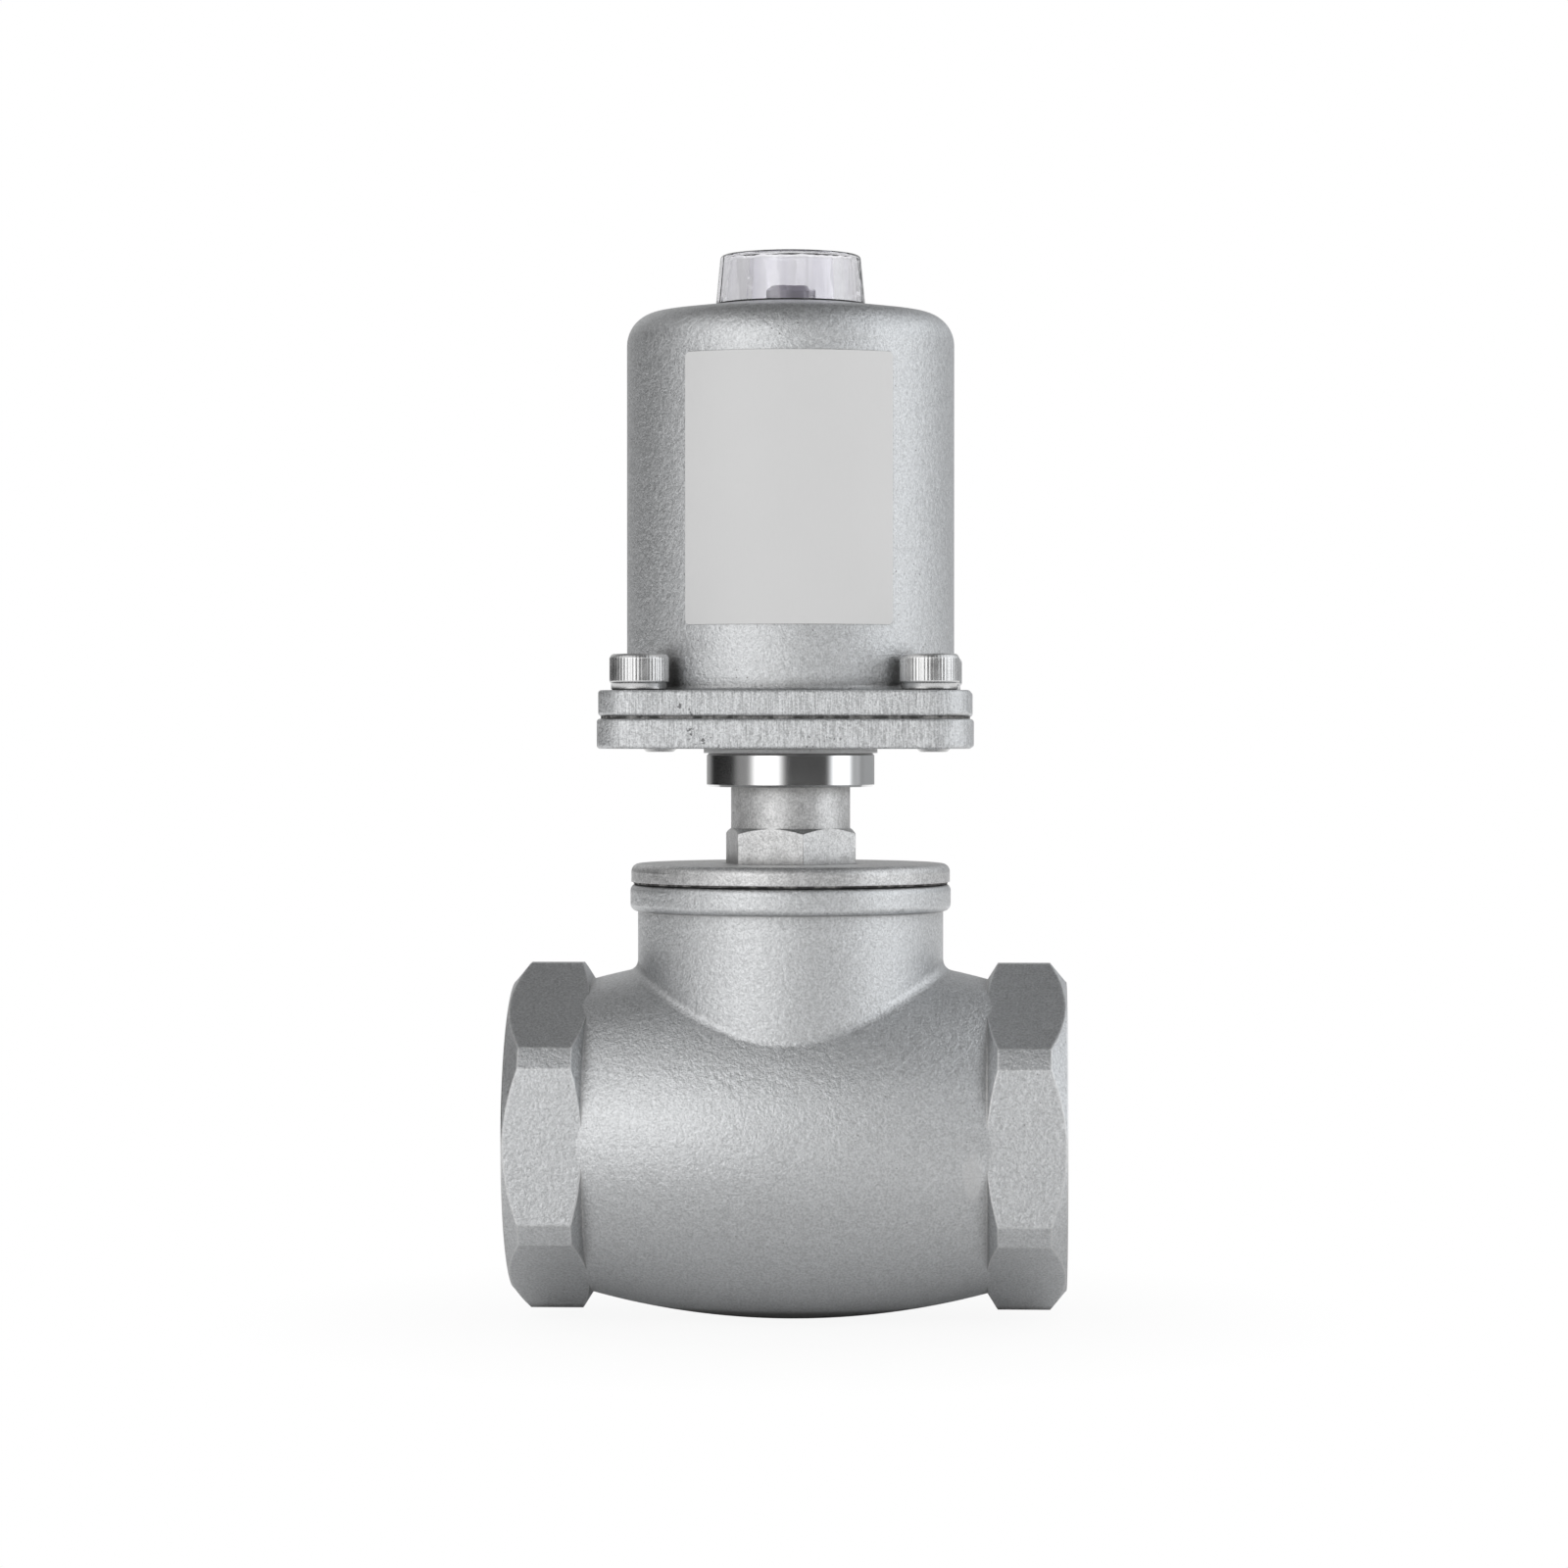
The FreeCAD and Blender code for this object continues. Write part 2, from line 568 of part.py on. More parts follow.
def spigot_seal():
    """O-ring in the spigot's outer groove, which seals the turning base plate."""
    return o_ring(SPIGOT_RADIUS - SEAL_SECTION / 2, SEAL_SECTION - STATIC_GAP, SPIGOT_SEAL_LEVEL)


def rod_seal():
    """O-ring in the spigot's inner groove, which seals the stem against pilot air."""
    return o_ring(STEM_BORE_RADIUS + SEAL_SECTION / 2, SEAL_SECTION - STATIC_GAP, ROD_SEAL_LEVEL)


def guide_bush():
    """Lower stem guide that closes the packing chamber."""
    return ring(PACKING_RADIUS - STATIC_GAP, STEM_BORE_RADIUS, CHAMBER_BOTTOM, PACKING_SPRING_BOTTOM)


def packing_spring():
    """Small spring that keeps the packing rings pressed together."""
    mean = (PACKING_RADIUS + STEM_RADIUS) / 2
    return coil(
        mean, PACKING_SPRING_WIRE, PACKING_SPRING_TURNS, PACKING_SPRING_BOTTOM, LOWER_SUPPORT_BOTTOM
    )


def packing_piece(low, high, hollow_below, peak_above):
    """Packing ring with a V-shaped hollow below, or a V-shaped peak above, or both."""
    outer = PACKING_RADIUS - STATIC_GAP
    inner = STEM_BORE_RADIUS
    middle = (outer + inner) / 2
    outline = [(inner, low)]
    if hollow_below:
        outline.append((middle, low + PACKING_SLOPE))
    outline.append((outer, low))
    outline.append((outer, high))
    if peak_above:
        outline.append((middle, high + PACKING_SLOPE))
    outline.append((inner, high))
    return lathe(outline)


def packing_lower_support():
    """Bottom ring of the packing, flat below and peaked above."""
    return packing_piece(LOWER_SUPPORT_BOTTOM, PACKING_BOTTOM, False, True)


def packing_ring(index):
    """One chevron ring of the packing, counted from below."""
    low = PACKING_BOTTOM + index * PACKING_RING_HEIGHT
    return packing_piece(low, low + PACKING_RING_HEIGHT, True, True)


def packing_upper_support():
    """Top ring of the packing, hollow below and flat above."""
    return packing_piece(UPPER_SUPPORT_BOTTOM, CHAMBER_TOP, True, False)


def coupling_ring():
    """Polished ring on the bonnet stub that carries the actuator."""
    body = ring(COUPLING_RING_RADIUS, SPIGOT_RADIUS + STATIC_GAP, COUPLING_SEAT, COUPLING_TOP)
    lower_rim = around_axis_at(COUPLING_RING_RADIUS, COUPLING_SEAT)
    upper_rim = around_axis_at(COUPLING_RING_RADIUS, COUPLING_TOP)
    rims = [edge for edge in body.Edges if lower_rim(edge) or upper_rim(edge)]
    return body.makeChamfer(COUPLING_RING_EDGE, rims)


def thrust_washer():
    """Slippery washer under the spigot nut."""
    return ring(THRUST_WASHER_RADIUS, SPIGOT_RADIUS + STATIC_GAP, BASE_TOP, SPIGOT_NUT_BOTTOM)


def spigot_nut():
    """Thin nut on the spigot that holds the actuator down and lets it turn."""
    blank = chamfered_hexagon(SPIGOT_NUT_ACROSS_FLATS, SPIGOT_NUT_BOTTOM, SPIGOT_TOP)
    return blank.cut(cylinder(SPIGOT_RADIUS + STATIC_GAP, SPIGOT_NUT_BOTTOM - 1, SPIGOT_TOP + 1))


def rounded_square(side, corner, low, high):
    """Square plate about the stem axis with rounded corners."""
    blank = Part.makeBox(side, side, high - low, Vector(-side / 2, -side / 2, low))
    return fillet(blank, corner, lambda edge: abs(edge.tangentAt(edge.FirstParameter).z) > 0.99)


def soften_rims(plate, edge_radius, levels):
    """Plate, still without holes, with its rim rounded at the given levels."""
    def on_rim(edge):
        box = edge.BoundBox
        flat = box.ZLength < 0.01
        return flat and any(abs(box.ZMin - level) < 0.01 for level in levels)
    return fillet(plate, edge_radius, on_rim)


def screw_places():
    """Centres of the four flange screws."""
    half = SCREW_SPACING / 2
    return [(x * half, y * half) for y in (-1, 1) for x in (-1, 1)]


def screw_holes(radius, low, high):
    """Drills for the four flange screws."""
    return [Part.makeCylinder(radius, high - low, Vector(x, y, low), UP) for x, y in screw_places()]


def actuator_base():
    """Square base plate with a boss on the coupling ring and a register for the cylinder."""
    plate = rounded_square(FLANGE_SIDE, FLANGE_CORNER_RADIUS, BASE_BOTTOM, BASE_TOP)
    plate = soften_rims(plate, FLANGE_EDGE, (BASE_BOTTOM, BASE_TOP))
    boss = cylinder(BASE_BOSS_RADIUS, COUPLING_TOP, BASE_BOTTOM)
    register_radius = CYLINDER_BORE_RADIUS - STATIC_GAP
    register = ring(
        register_radius,
        register_radius - BASE_REGISTER_WIDTH,
        BASE_TOP,
        FLANGE_BOTTOM + BASE_REGISTER_HEIGHT,
    )
    body = plate.fuse([boss, register])
    holes = screw_holes(SCREW_RADIUS + THREAD_GAP, BASE_BOTTOM - 1, BASE_TOP + 1)
    holes.append(cylinder(SPIGOT_RADIUS + RUNNING_GAP, COUPLING_TOP - 1, BASE_TOP + 1))
    return body.cut(holes)


def flange_gasket():
    """Square gasket between the base plate and the cylinder flange."""
    side = FLANGE_SIDE - 2 * FLANGE_GASKET_INSET
    blank = rounded_square(side, FLANGE_CORNER_RADIUS - FLANGE_GASKET_INSET, BASE_TOP, FLANGE_BOTTOM)
    holes = screw_holes(SCREW_RADIUS + SCREW_CLEARANCE, BASE_TOP - 1, FLANGE_BOTTOM + 1)
    holes.append(cylinder(CYLINDER_BORE_RADIUS + STATIC_GAP, BASE_TOP - 1, FLANGE_BOTTOM + 1))
    return blank.cut(holes)


def air_boss(level):
    """Round boss at the rear of the cylinder for one air port."""
    start = CYLINDER_BORE_RADIUS - CYLINDER_WALL
    boss = Part.makeCylinder(AIR_BOSS_RADIUS, AIR_BOSS_REACH - start, Vector(0, start, level), REAR)
    return fillet(boss, AIR_BOSS_EDGE, lambda edge: abs(edge.CenterOfMass.y - AIR_BOSS_REACH) < 0.01)


def air_thread(level):
    """Blind threaded hole of one air port."""
    start = AIR_BOSS_REACH - AIR_THREAD_LENGTH
    return Part.makeCylinder(AIR_THREAD_RADIUS, AIR_THREAD_LENGTH + 1, Vector(0, start, level), REAR)


def drill(start, end):
    """Air channel from one point to another."""
    way = end - start
    return Part.makeCylinder(AIR_CHANNEL_RADIUS, way.Length, start, way)


def actuator_cylinder():
    """Cast cylinder with its square flange, sloping top, round shoulder and two rear air ports."""
    pilot = FLANGE_TOP + PILOT_PORT_HEIGHT
    vent = CYLINDER_TOP - VENT_PORT_DEPTH
    side = FLANGE_SIDE - 2 * FLANGE_INSET
    flange = rounded_square(side, FLANGE_CORNER_RADIUS - FLANGE_INSET, FLANGE_BOTTOM, FLANGE_TOP)
    flange = soften_rims(flange, FLANGE_EDGE, (FLANGE_BOTTOM, FLANGE_TOP))
    land = CAP_BASE_RADIUS + CYLINDER_TOP_LAND
    shoulder = sloped_shoulder(CYLINDER_RADIUS, CYLINDER_TOP_EDGE, CYLINDER_TOP_SLOPE, land, CYLINDER_TOP)
    wall = lathe([(0, FLANGE_TOP - 1), (CYLINDER_RADIUS, FLANGE_TOP - 1)] + shoulder + [(0, CYLINDER_TOP)])
    outside = flange.fuse(wall)
    outside = fillet(outside, CYLINDER_FOOT_FILLET, around_axis_at(CYLINDER_RADIUS, FLANGE_TOP))
    rib = Part.makeBox(
        2 * AIR_BOSS_RADIUS,
        CYLINDER_WALL + AIR_RIB_STAND,
        PILOT_PORT_HEIGHT + 1,
        Vector(-AIR_BOSS_RADIUS, CYLINDER_BORE_RADIUS, FLANGE_TOP - 1),
    )
    outside = outside.fuse([air_boss(pilot), air_boss(vent), rib])

    bore = cylinder(CYLINDER_BORE_RADIUS, FLANGE_BOTTOM - 1, CYLINDER_CEILING)
    bore = fillet(bore, CYLINDER_INNER_FILLET, around_axis_at(CYLINDER_BORE_RADIUS, CYLINDER_CEILING))
    channel_y = AIR_BOSS_REACH - AIR_THREAD_LENGTH + AIR_CHANNEL_INSET
    channel_low = FLANGE_BOTTOM + FLANGE_THICKNESS / 2
    cuts = [
        bore,
        air_thread(pilot),
        air_thread(vent),
        drill(Vector(0, channel_y, pilot), Vector(0, channel_y, channel_low)),
        drill(Vector(0, channel_y, channel_low), Vector(0, CYLINDER_BORE_RADIUS - 2, channel_low)),
        drill(Vector(0, channel_y, vent), Vector(0, CYLINDER_BORE_RADIUS - 2, vent)),
        cylinder(CAP_SPIGOT_RADIUS + THREAD_GAP, CYLINDER_CEILING - 1, CYLINDER_TOP + 1),
    ]
    cuts += screw_holes(SCREW_RADIUS + SCREW_CLEARANCE, FLANGE_BOTTOM - 1, FLANGE_TOP + 1)
    return outside.cut(cuts)


def flange_screw(end):
    """Socket head cap screw on the stem axis, from the top of the cylinder flange down to its end."""
    head_top = FLANGE_TOP + SCREW_HEAD_HEIGHT
    neck_top = FLANGE_TOP + SCREW_NECK_HEIGHT
    blank = lathe([
        (0, end),
        (SCREW_RADIUS - SCREW_HEAD_EDGE, end),
        (SCREW_RADIUS, end + SCREW_HEAD_EDGE),
        (SCREW_RADIUS, FLANGE_TOP),
        (SCREW_NECK_RADIUS, FLANGE_TOP),
        (SCREW_NECK_RADIUS, neck_top),
        (SCREW_HEAD_RADIUS, neck_top + SCREW_HEAD_EDGE / 2),
        (SCREW_HEAD_RADIUS, head_top - SCREW_HEAD_EDGE),
        (SCREW_HEAD_RADIUS - SCREW_HEAD_EDGE, head_top),
        (0, head_top),
    ])
    return blank.cut(hexagon(SCREW_SOCKET_ACROSS_FLATS, head_top - SCREW_SOCKET_DEPTH, head_top + 1))


def flange_screws():
    """Four flange screws: the rear ones come out under the base plate, the front ones end inside it."""
    rear = flange_screw(BASE_BOTTOM - SCREW_REAR_END_SHOWING)
    front = flange_screw(BASE_BOTTOM + SCREW_FRONT_END_DEPTH)
    screws = [(rear if y > 0 else front).translated(Vector(x, y, 0)) for x, y in screw_places()]
    return Part.Compound(screws)


def stem():
    """Stem with threaded ends for the disc and the piston."""
    return lathe([
        (0, STEM_BOTTOM),
        (STEM_THREAD_RADIUS - STEM_END_CHAMFER, STEM_BOTTOM),
        (STEM_THREAD_RADIUS, STEM_BOTTOM + STEM_END_CHAMFER),
        (STEM_THREAD_RADIUS, DISC_TOP),
        (STEM_RADIUS, DISC_TOP),
        (STEM_RADIUS, PISTON_SHOULDER),
        (STEM_THREAD_RADIUS, PISTON_SHOULDER),
        (STEM_THREAD_RADIUS, STEM_TOP),
        (0, STEM_TOP),
    ])


def disc():
    """Valve disc with a hub round the stem and a lip round the soft seal."""
    blank = lathe([
        (0, DISC_BOTTOM),
        (DISC_RADIUS, DISC_BOTTOM),
        (DISC_RADIUS, DISC_TOP - DISC_EDGE),
        (DISC_RADIUS - DISC_EDGE, DISC_TOP),
        (DISC_HUB_RADIUS + DISC_HUB_SLOPE, DISC_TOP),
        (DISC_HUB_RADIUS, DISC_TOP + DISC_HUB_SLOPE),
        (DISC_HUB_RADIUS, DISC_SHOULDER - DISC_HUB_EDGE),
        (DISC_HUB_RADIUS - DISC_HUB_EDGE, DISC_SHOULDER),
        (0, DISC_SHOULDER),
    ])
    recess = cylinder(DISC_SEAL_RADIUS, DISC_BOTTOM - 1, DISC_SEAL_TOP)
    stem_hole = cylinder(STEM_RADIUS + STATIC_GAP, DISC_TOP, DISC_SHOULDER + 1)
    thread_hole = cylinder(STEM_THREAD_RADIUS + STATIC_GAP, DISC_BOTTOM - 1, DISC_TOP + 1)
    return blank.cut([recess, stem_hole, thread_hole])


def disc_seal():
    """Soft ring that closes on the seat lip."""
    core = DISC_SEAL_CORE_RADIUS + STATIC_GAP
    return ring(DISC_SEAL_RADIUS - STATIC_GAP, core, SEAT_LEVEL, DISC_SEAL_TOP)


def seal_retainer():
    """Stepped washer that clamps the soft ring to the disc."""
    blank = lathe([
        (0, SEAT_LEVEL - RETAINER_THICKNESS),
        (RETAINER_RADIUS - RETAINER_EDGE, SEAT_LEVEL - RETAINER_THICKNESS),
        (RETAINER_RADIUS, SEAT_LEVEL - RETAINER_THICKNESS + RETAINER_EDGE),
        (RETAINER_RADIUS, SEAT_LEVEL),
        (DISC_SEAL_CORE_RADIUS, SEAT_LEVEL),
        (DISC_SEAL_CORE_RADIUS, DISC_SEAL_TOP),
        (0, DISC_SEAL_TOP),
    ])
    return blank.cut(cylinder(STEM_THREAD_RADIUS + STATIC_GAP, STEM_BOTTOM, DISC_TOP))


def stem_nut(low):
    """Nut on one of the stem's threaded ends."""
    blank = chamfered_hexagon(NUT_ACROSS_FLATS, low, low + NUT_HEIGHT)
    return blank.cut(cylinder(STEM_THREAD_RADIUS + STATIC_GAP, low - 1, low + NUT_HEIGHT + 1))


def disc_nut():
    """Nut under the seal retainer."""
    return stem_nut(DISC_NUT_BOTTOM)


def piston():
    """Piston with a seal groove, a guide band groove, a spring well and a hub."""
    blank = lathe([
        (0, PISTON_BOTTOM),
        (PISTON_RADIUS - PISTON_EDGE, PISTON_BOTTOM),
        (PISTON_RADIUS, PISTON_BOTTOM + PISTON_EDGE),
        (PISTON_RADIUS, PISTON_TOP - PISTON_EDGE),
        (PISTON_RADIUS - PISTON_EDGE, PISTON_TOP),
        (0, PISTON_TOP),
    ])
    seal_top = PISTON_SEAL_BOTTOM + PISTON_SEAL_HEIGHT
    band_top = PISTON_BAND_BOTTOM + PISTON_BAND_HEIGHT
    return blank.cut([
        ring(PISTON_RADIUS + 1, PISTON_RADIUS - PISTON_SEAL_DEPTH, PISTON_SEAL_BOTTOM, seal_top),
        ring(PISTON_RADIUS + 1, PISTON_RADIUS - PISTON_BAND_DEPTH, PISTON_BAND_BOTTOM, band_top),
        ring(PISTON_WELL_RADIUS, PISTON_HUB_RADIUS, SPRING_SEAT, PISTON_TOP + 1),
        cylinder(STEM_RADIUS + STATIC_GAP, PISTON_BOTTOM - 1, PISTON_SHOULDER),
        cylinder(STEM_THREAD_RADIUS + STATIC_GAP, PISTON_BOTTOM - 1, PISTON_TOP + 1),
    ])


def piston_seal():
    """U-shaped lip seal, open towards the pilot air below."""
    low = PISTON_SEAL_BOTTOM + STATIC_GAP
    high = PISTON_SEAL_BOTTOM + PISTON_SEAL_HEIGHT - STATIC_GAP
    outer = CYLINDER_BORE_RADIUS - RUNNING_GAP
    inner = PISTON_RADIUS - PISTON_SEAL_DEPTH + STATIC_GAP
    middle = (outer + inner) / 2
    return lathe([
        (inner, low),
        (inner + PISTON_SEAL_LIP, low),
        ("arc", (middle, low + PISTON_SEAL_HOLLOW), (outer - PISTON_SEAL_LIP, low)),
        (outer, low),
        (outer, low + PISTON_SEAL_LIP),
        (PISTON_RADIUS, high),
        (inner, high),
    ])


def piston_guide_band():
    """Guide band round the piston."""
    low = PISTON_BAND_BOTTOM + STATIC_GAP
    high = PISTON_BAND_BOTTOM + PISTON_BAND_HEIGHT - STATIC_GAP
    inner = PISTON_RADIUS - PISTON_BAND_DEPTH + STATIC_GAP
    return ring(CYLINDER_BORE_RADIUS - RUNNING_GAP, inner, low, high)


def piston_washer():
    """Washer between the piston hub and its nut."""
    return ring(PISTON_WASHER_RADIUS, STEM_THREAD_RADIUS + STATIC_GAP, PISTON_TOP, PISTON_NUT_BOTTOM)


def piston_nut():
    """Nut that clamps the piston to the stem."""
    return stem_nut(PISTON_NUT_BOTTOM)


def return_spring():
    """Coil spring that pushes the piston down and the disc onto its seat."""
    return coil(SPRING_MEAN_RADIUS, SPRING_WIRE_RADIUS, SPRING_TURNS, SPRING_SEAT, CYLINDER_CEILING)


def indicator_rod():
    """Rod on top of the stem whose end rises into the clear cap when the valve opens."""
    return lathe([
        (0, STEM_TOP),
        (INDICATOR_RADIUS, STEM_TOP),
        (INDICATOR_RADIUS, INDICATOR_TOP - INDICATOR_EDGE),
        (INDICATOR_RADIUS - INDICATOR_EDGE, INDICATOR_TOP),
        (0, INDICATOR_TOP),
    ])


def indicator_bush():
    """Collar in the foot of the clear cap that guides the indicator rod."""
    low = CYLINDER_CEILING
    top = low + BUSH_HEIGHT
    outer = CAP_BORE_RADIUS - STATIC_GAP
    return lathe([
        (BUSH_BORE_RADIUS, low),
        (outer, low),
        (outer, low + BUSH_FLANGE_HEIGHT),
        (BUSH_RADIUS, low + BUSH_FLANGE_HEIGHT),
        (BUSH_RADIUS, top - BUSH_EDGE),
        (BUSH_RADIUS - BUSH_EDGE, top),
        (BUSH_BORE_RADIUS, top),
    ])


def indicator_cap():
    """Clear tapered cap screwed into the cylinder roof."""
    blank = lathe([
        (0, CYLINDER_CEILING),
        (CAP_SPIGOT_RADIUS, CYLINDER_CEILING),
        (CAP_SPIGOT_RADIUS, CAP_SEAT),
        (CAP_BASE_RADIUS, CAP_SEAT),
        (CAP_TOP_RADIUS, CAP_TOP - CAP_EDGE),
        rounded_corner(CAP_TOP_RADIUS, CAP_TOP, CAP_EDGE),
        low_dome(CAP_TOP_RADIUS - CAP_EDGE, CAP_TOP, CAP_DOME),
    ])
    return blank.cut(cylinder(CAP_BORE_RADIUS, CYLINDER_CEILING - 1, CAP_CEILING))


def cap_gasket():
    """Flat dark ring between the clear cap and the top of the cylinder."""
    outer = CAP_BASE_RADIUS - CAP_GASKET_INSET
    return ring(outer, CAP_SPIGOT_RADIUS + THREAD_GAP, CYLINDER_TOP, CAP_SEAT)


NODES = {
    "valve_body": valve_body,
    "bonnet_gasket": bonnet_gasket,
    "bonnet": bonnet,
    "guide_bush": guide_bush,
    "packing_spring": packing_spring,
    "packing_lower_support": packing_lower_support,
    "packing_upper_support": packing_upper_support,
    "coupling_ring": coupling_ring,
    "thrust_washer": thrust_washer,
    "spigot_nut": spigot_nut,
    "spigot_seal": spigot_seal,
    "rod_seal": rod_seal,
    "actuator_base": actuator_base,
    "flange_gasket": flange_gasket,
    "actuator_cylinder": actuator_cylinder,
    "flange_screws": flange_screws,
    "indicator_bush": indicator_bush,
    "indicator_cap": indicator_cap,
    "cap_gasket": cap_gasket,
    "return_spring": return_spring,
    "stem": stem,
    "disc": disc,
    "disc_seal": disc_seal,
    "seal_retainer": seal_retainer,
    "disc_nut": disc_nut,
    "piston": piston,
    "piston_seal": piston_seal,
    "piston_guide_band": piston_guide_band,
    "piston_washer": piston_washer,
    "piston_nut": piston_nut,
    "indicator_rod": indicator_rod,
}


def write(node, shape):
    """Save one node, moved so that the origin is the inlet port's mouth."""
    placed = shape.translated(Vector(FACE_TO_FACE / 2, 0, 0))
    placed.exportStep(f"parts/{node}.step")
    solids = len(placed.Solids)
    print(f"{node:24s} solids {solids} volume {placed.Volume:10.1f} valid {placed.isValid()}")


def main():
    os.makedirs("parts", exist_ok=True)
    for node, build in NODES.items():
        write(node, build())
    for index in range(PACKING_RING_COUNT):
        write(f"packing_ring_{index + 1}", packing_ring(index))


main()
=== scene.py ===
"""Finish, detail and stage the straight globe seat valve with its spring-return piston actuator."""
import logging
import math
from collections.abc import Callable, Sequence
from dataclasses import dataclass, field
from enum import Enum
from typing import Any

import bpy
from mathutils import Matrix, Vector


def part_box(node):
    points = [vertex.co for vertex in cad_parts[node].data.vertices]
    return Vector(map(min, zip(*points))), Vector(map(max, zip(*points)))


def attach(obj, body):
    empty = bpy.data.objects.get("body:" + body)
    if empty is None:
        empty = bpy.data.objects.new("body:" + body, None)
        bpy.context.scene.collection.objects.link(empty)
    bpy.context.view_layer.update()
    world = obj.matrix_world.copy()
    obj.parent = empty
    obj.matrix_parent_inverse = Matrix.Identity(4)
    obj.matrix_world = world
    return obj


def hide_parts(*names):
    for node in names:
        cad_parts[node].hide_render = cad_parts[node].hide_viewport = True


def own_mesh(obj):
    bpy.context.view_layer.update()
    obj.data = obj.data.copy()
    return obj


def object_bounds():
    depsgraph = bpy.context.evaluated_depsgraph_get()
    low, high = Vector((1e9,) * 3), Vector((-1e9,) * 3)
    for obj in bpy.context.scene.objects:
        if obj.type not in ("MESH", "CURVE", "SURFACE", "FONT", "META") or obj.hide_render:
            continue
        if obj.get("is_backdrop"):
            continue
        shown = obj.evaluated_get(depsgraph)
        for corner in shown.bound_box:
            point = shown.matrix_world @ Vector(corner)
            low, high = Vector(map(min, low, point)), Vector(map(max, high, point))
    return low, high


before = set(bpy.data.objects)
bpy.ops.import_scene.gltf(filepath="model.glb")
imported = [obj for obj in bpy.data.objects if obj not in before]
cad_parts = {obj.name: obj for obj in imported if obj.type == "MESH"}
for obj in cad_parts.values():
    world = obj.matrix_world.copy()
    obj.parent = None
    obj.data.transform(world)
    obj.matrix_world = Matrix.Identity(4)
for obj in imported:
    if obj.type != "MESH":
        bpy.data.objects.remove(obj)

LOG = logging.getLogger("seat_valve")
STEM_X = 0.0625

Point = tuple[float, float, float]
Ring = list[Point]


class Body(Enum):
    """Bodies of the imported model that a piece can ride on."""

    VALVE = "valve"
    ACTUATOR = "actuator"
    STEM_GROUP = "stem_group"


class Slot(Enum):
    """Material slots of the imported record."""

    CAST_STEEL = "cast_steel"
    CAST_FLANGE = "cast_flange"
    MACHINED_STEEL = "machined_steel"
    POLISHED_STEEL = "polished_steel"
    SCREW_STEEL = "screw_steel"
    SEAL_PTFE = "seal_ptfe"
    PACKING_FILLED = "packing_filled"
    SEAL_RUBBER = "seal_rubber"
    GASKET_SHEET = "gasket_sheet"
    SPRING_STEEL = "spring_steel"
    PISTON_ALUMINIUM = "piston_aluminium"
    CLEAR_PLASTIC = "clear_plastic"
    BUSH_PLASTIC = "bush_plastic"
    INDICATOR_PLASTIC = "indicator_plastic"
    LABEL_FOIL = "label_foil"


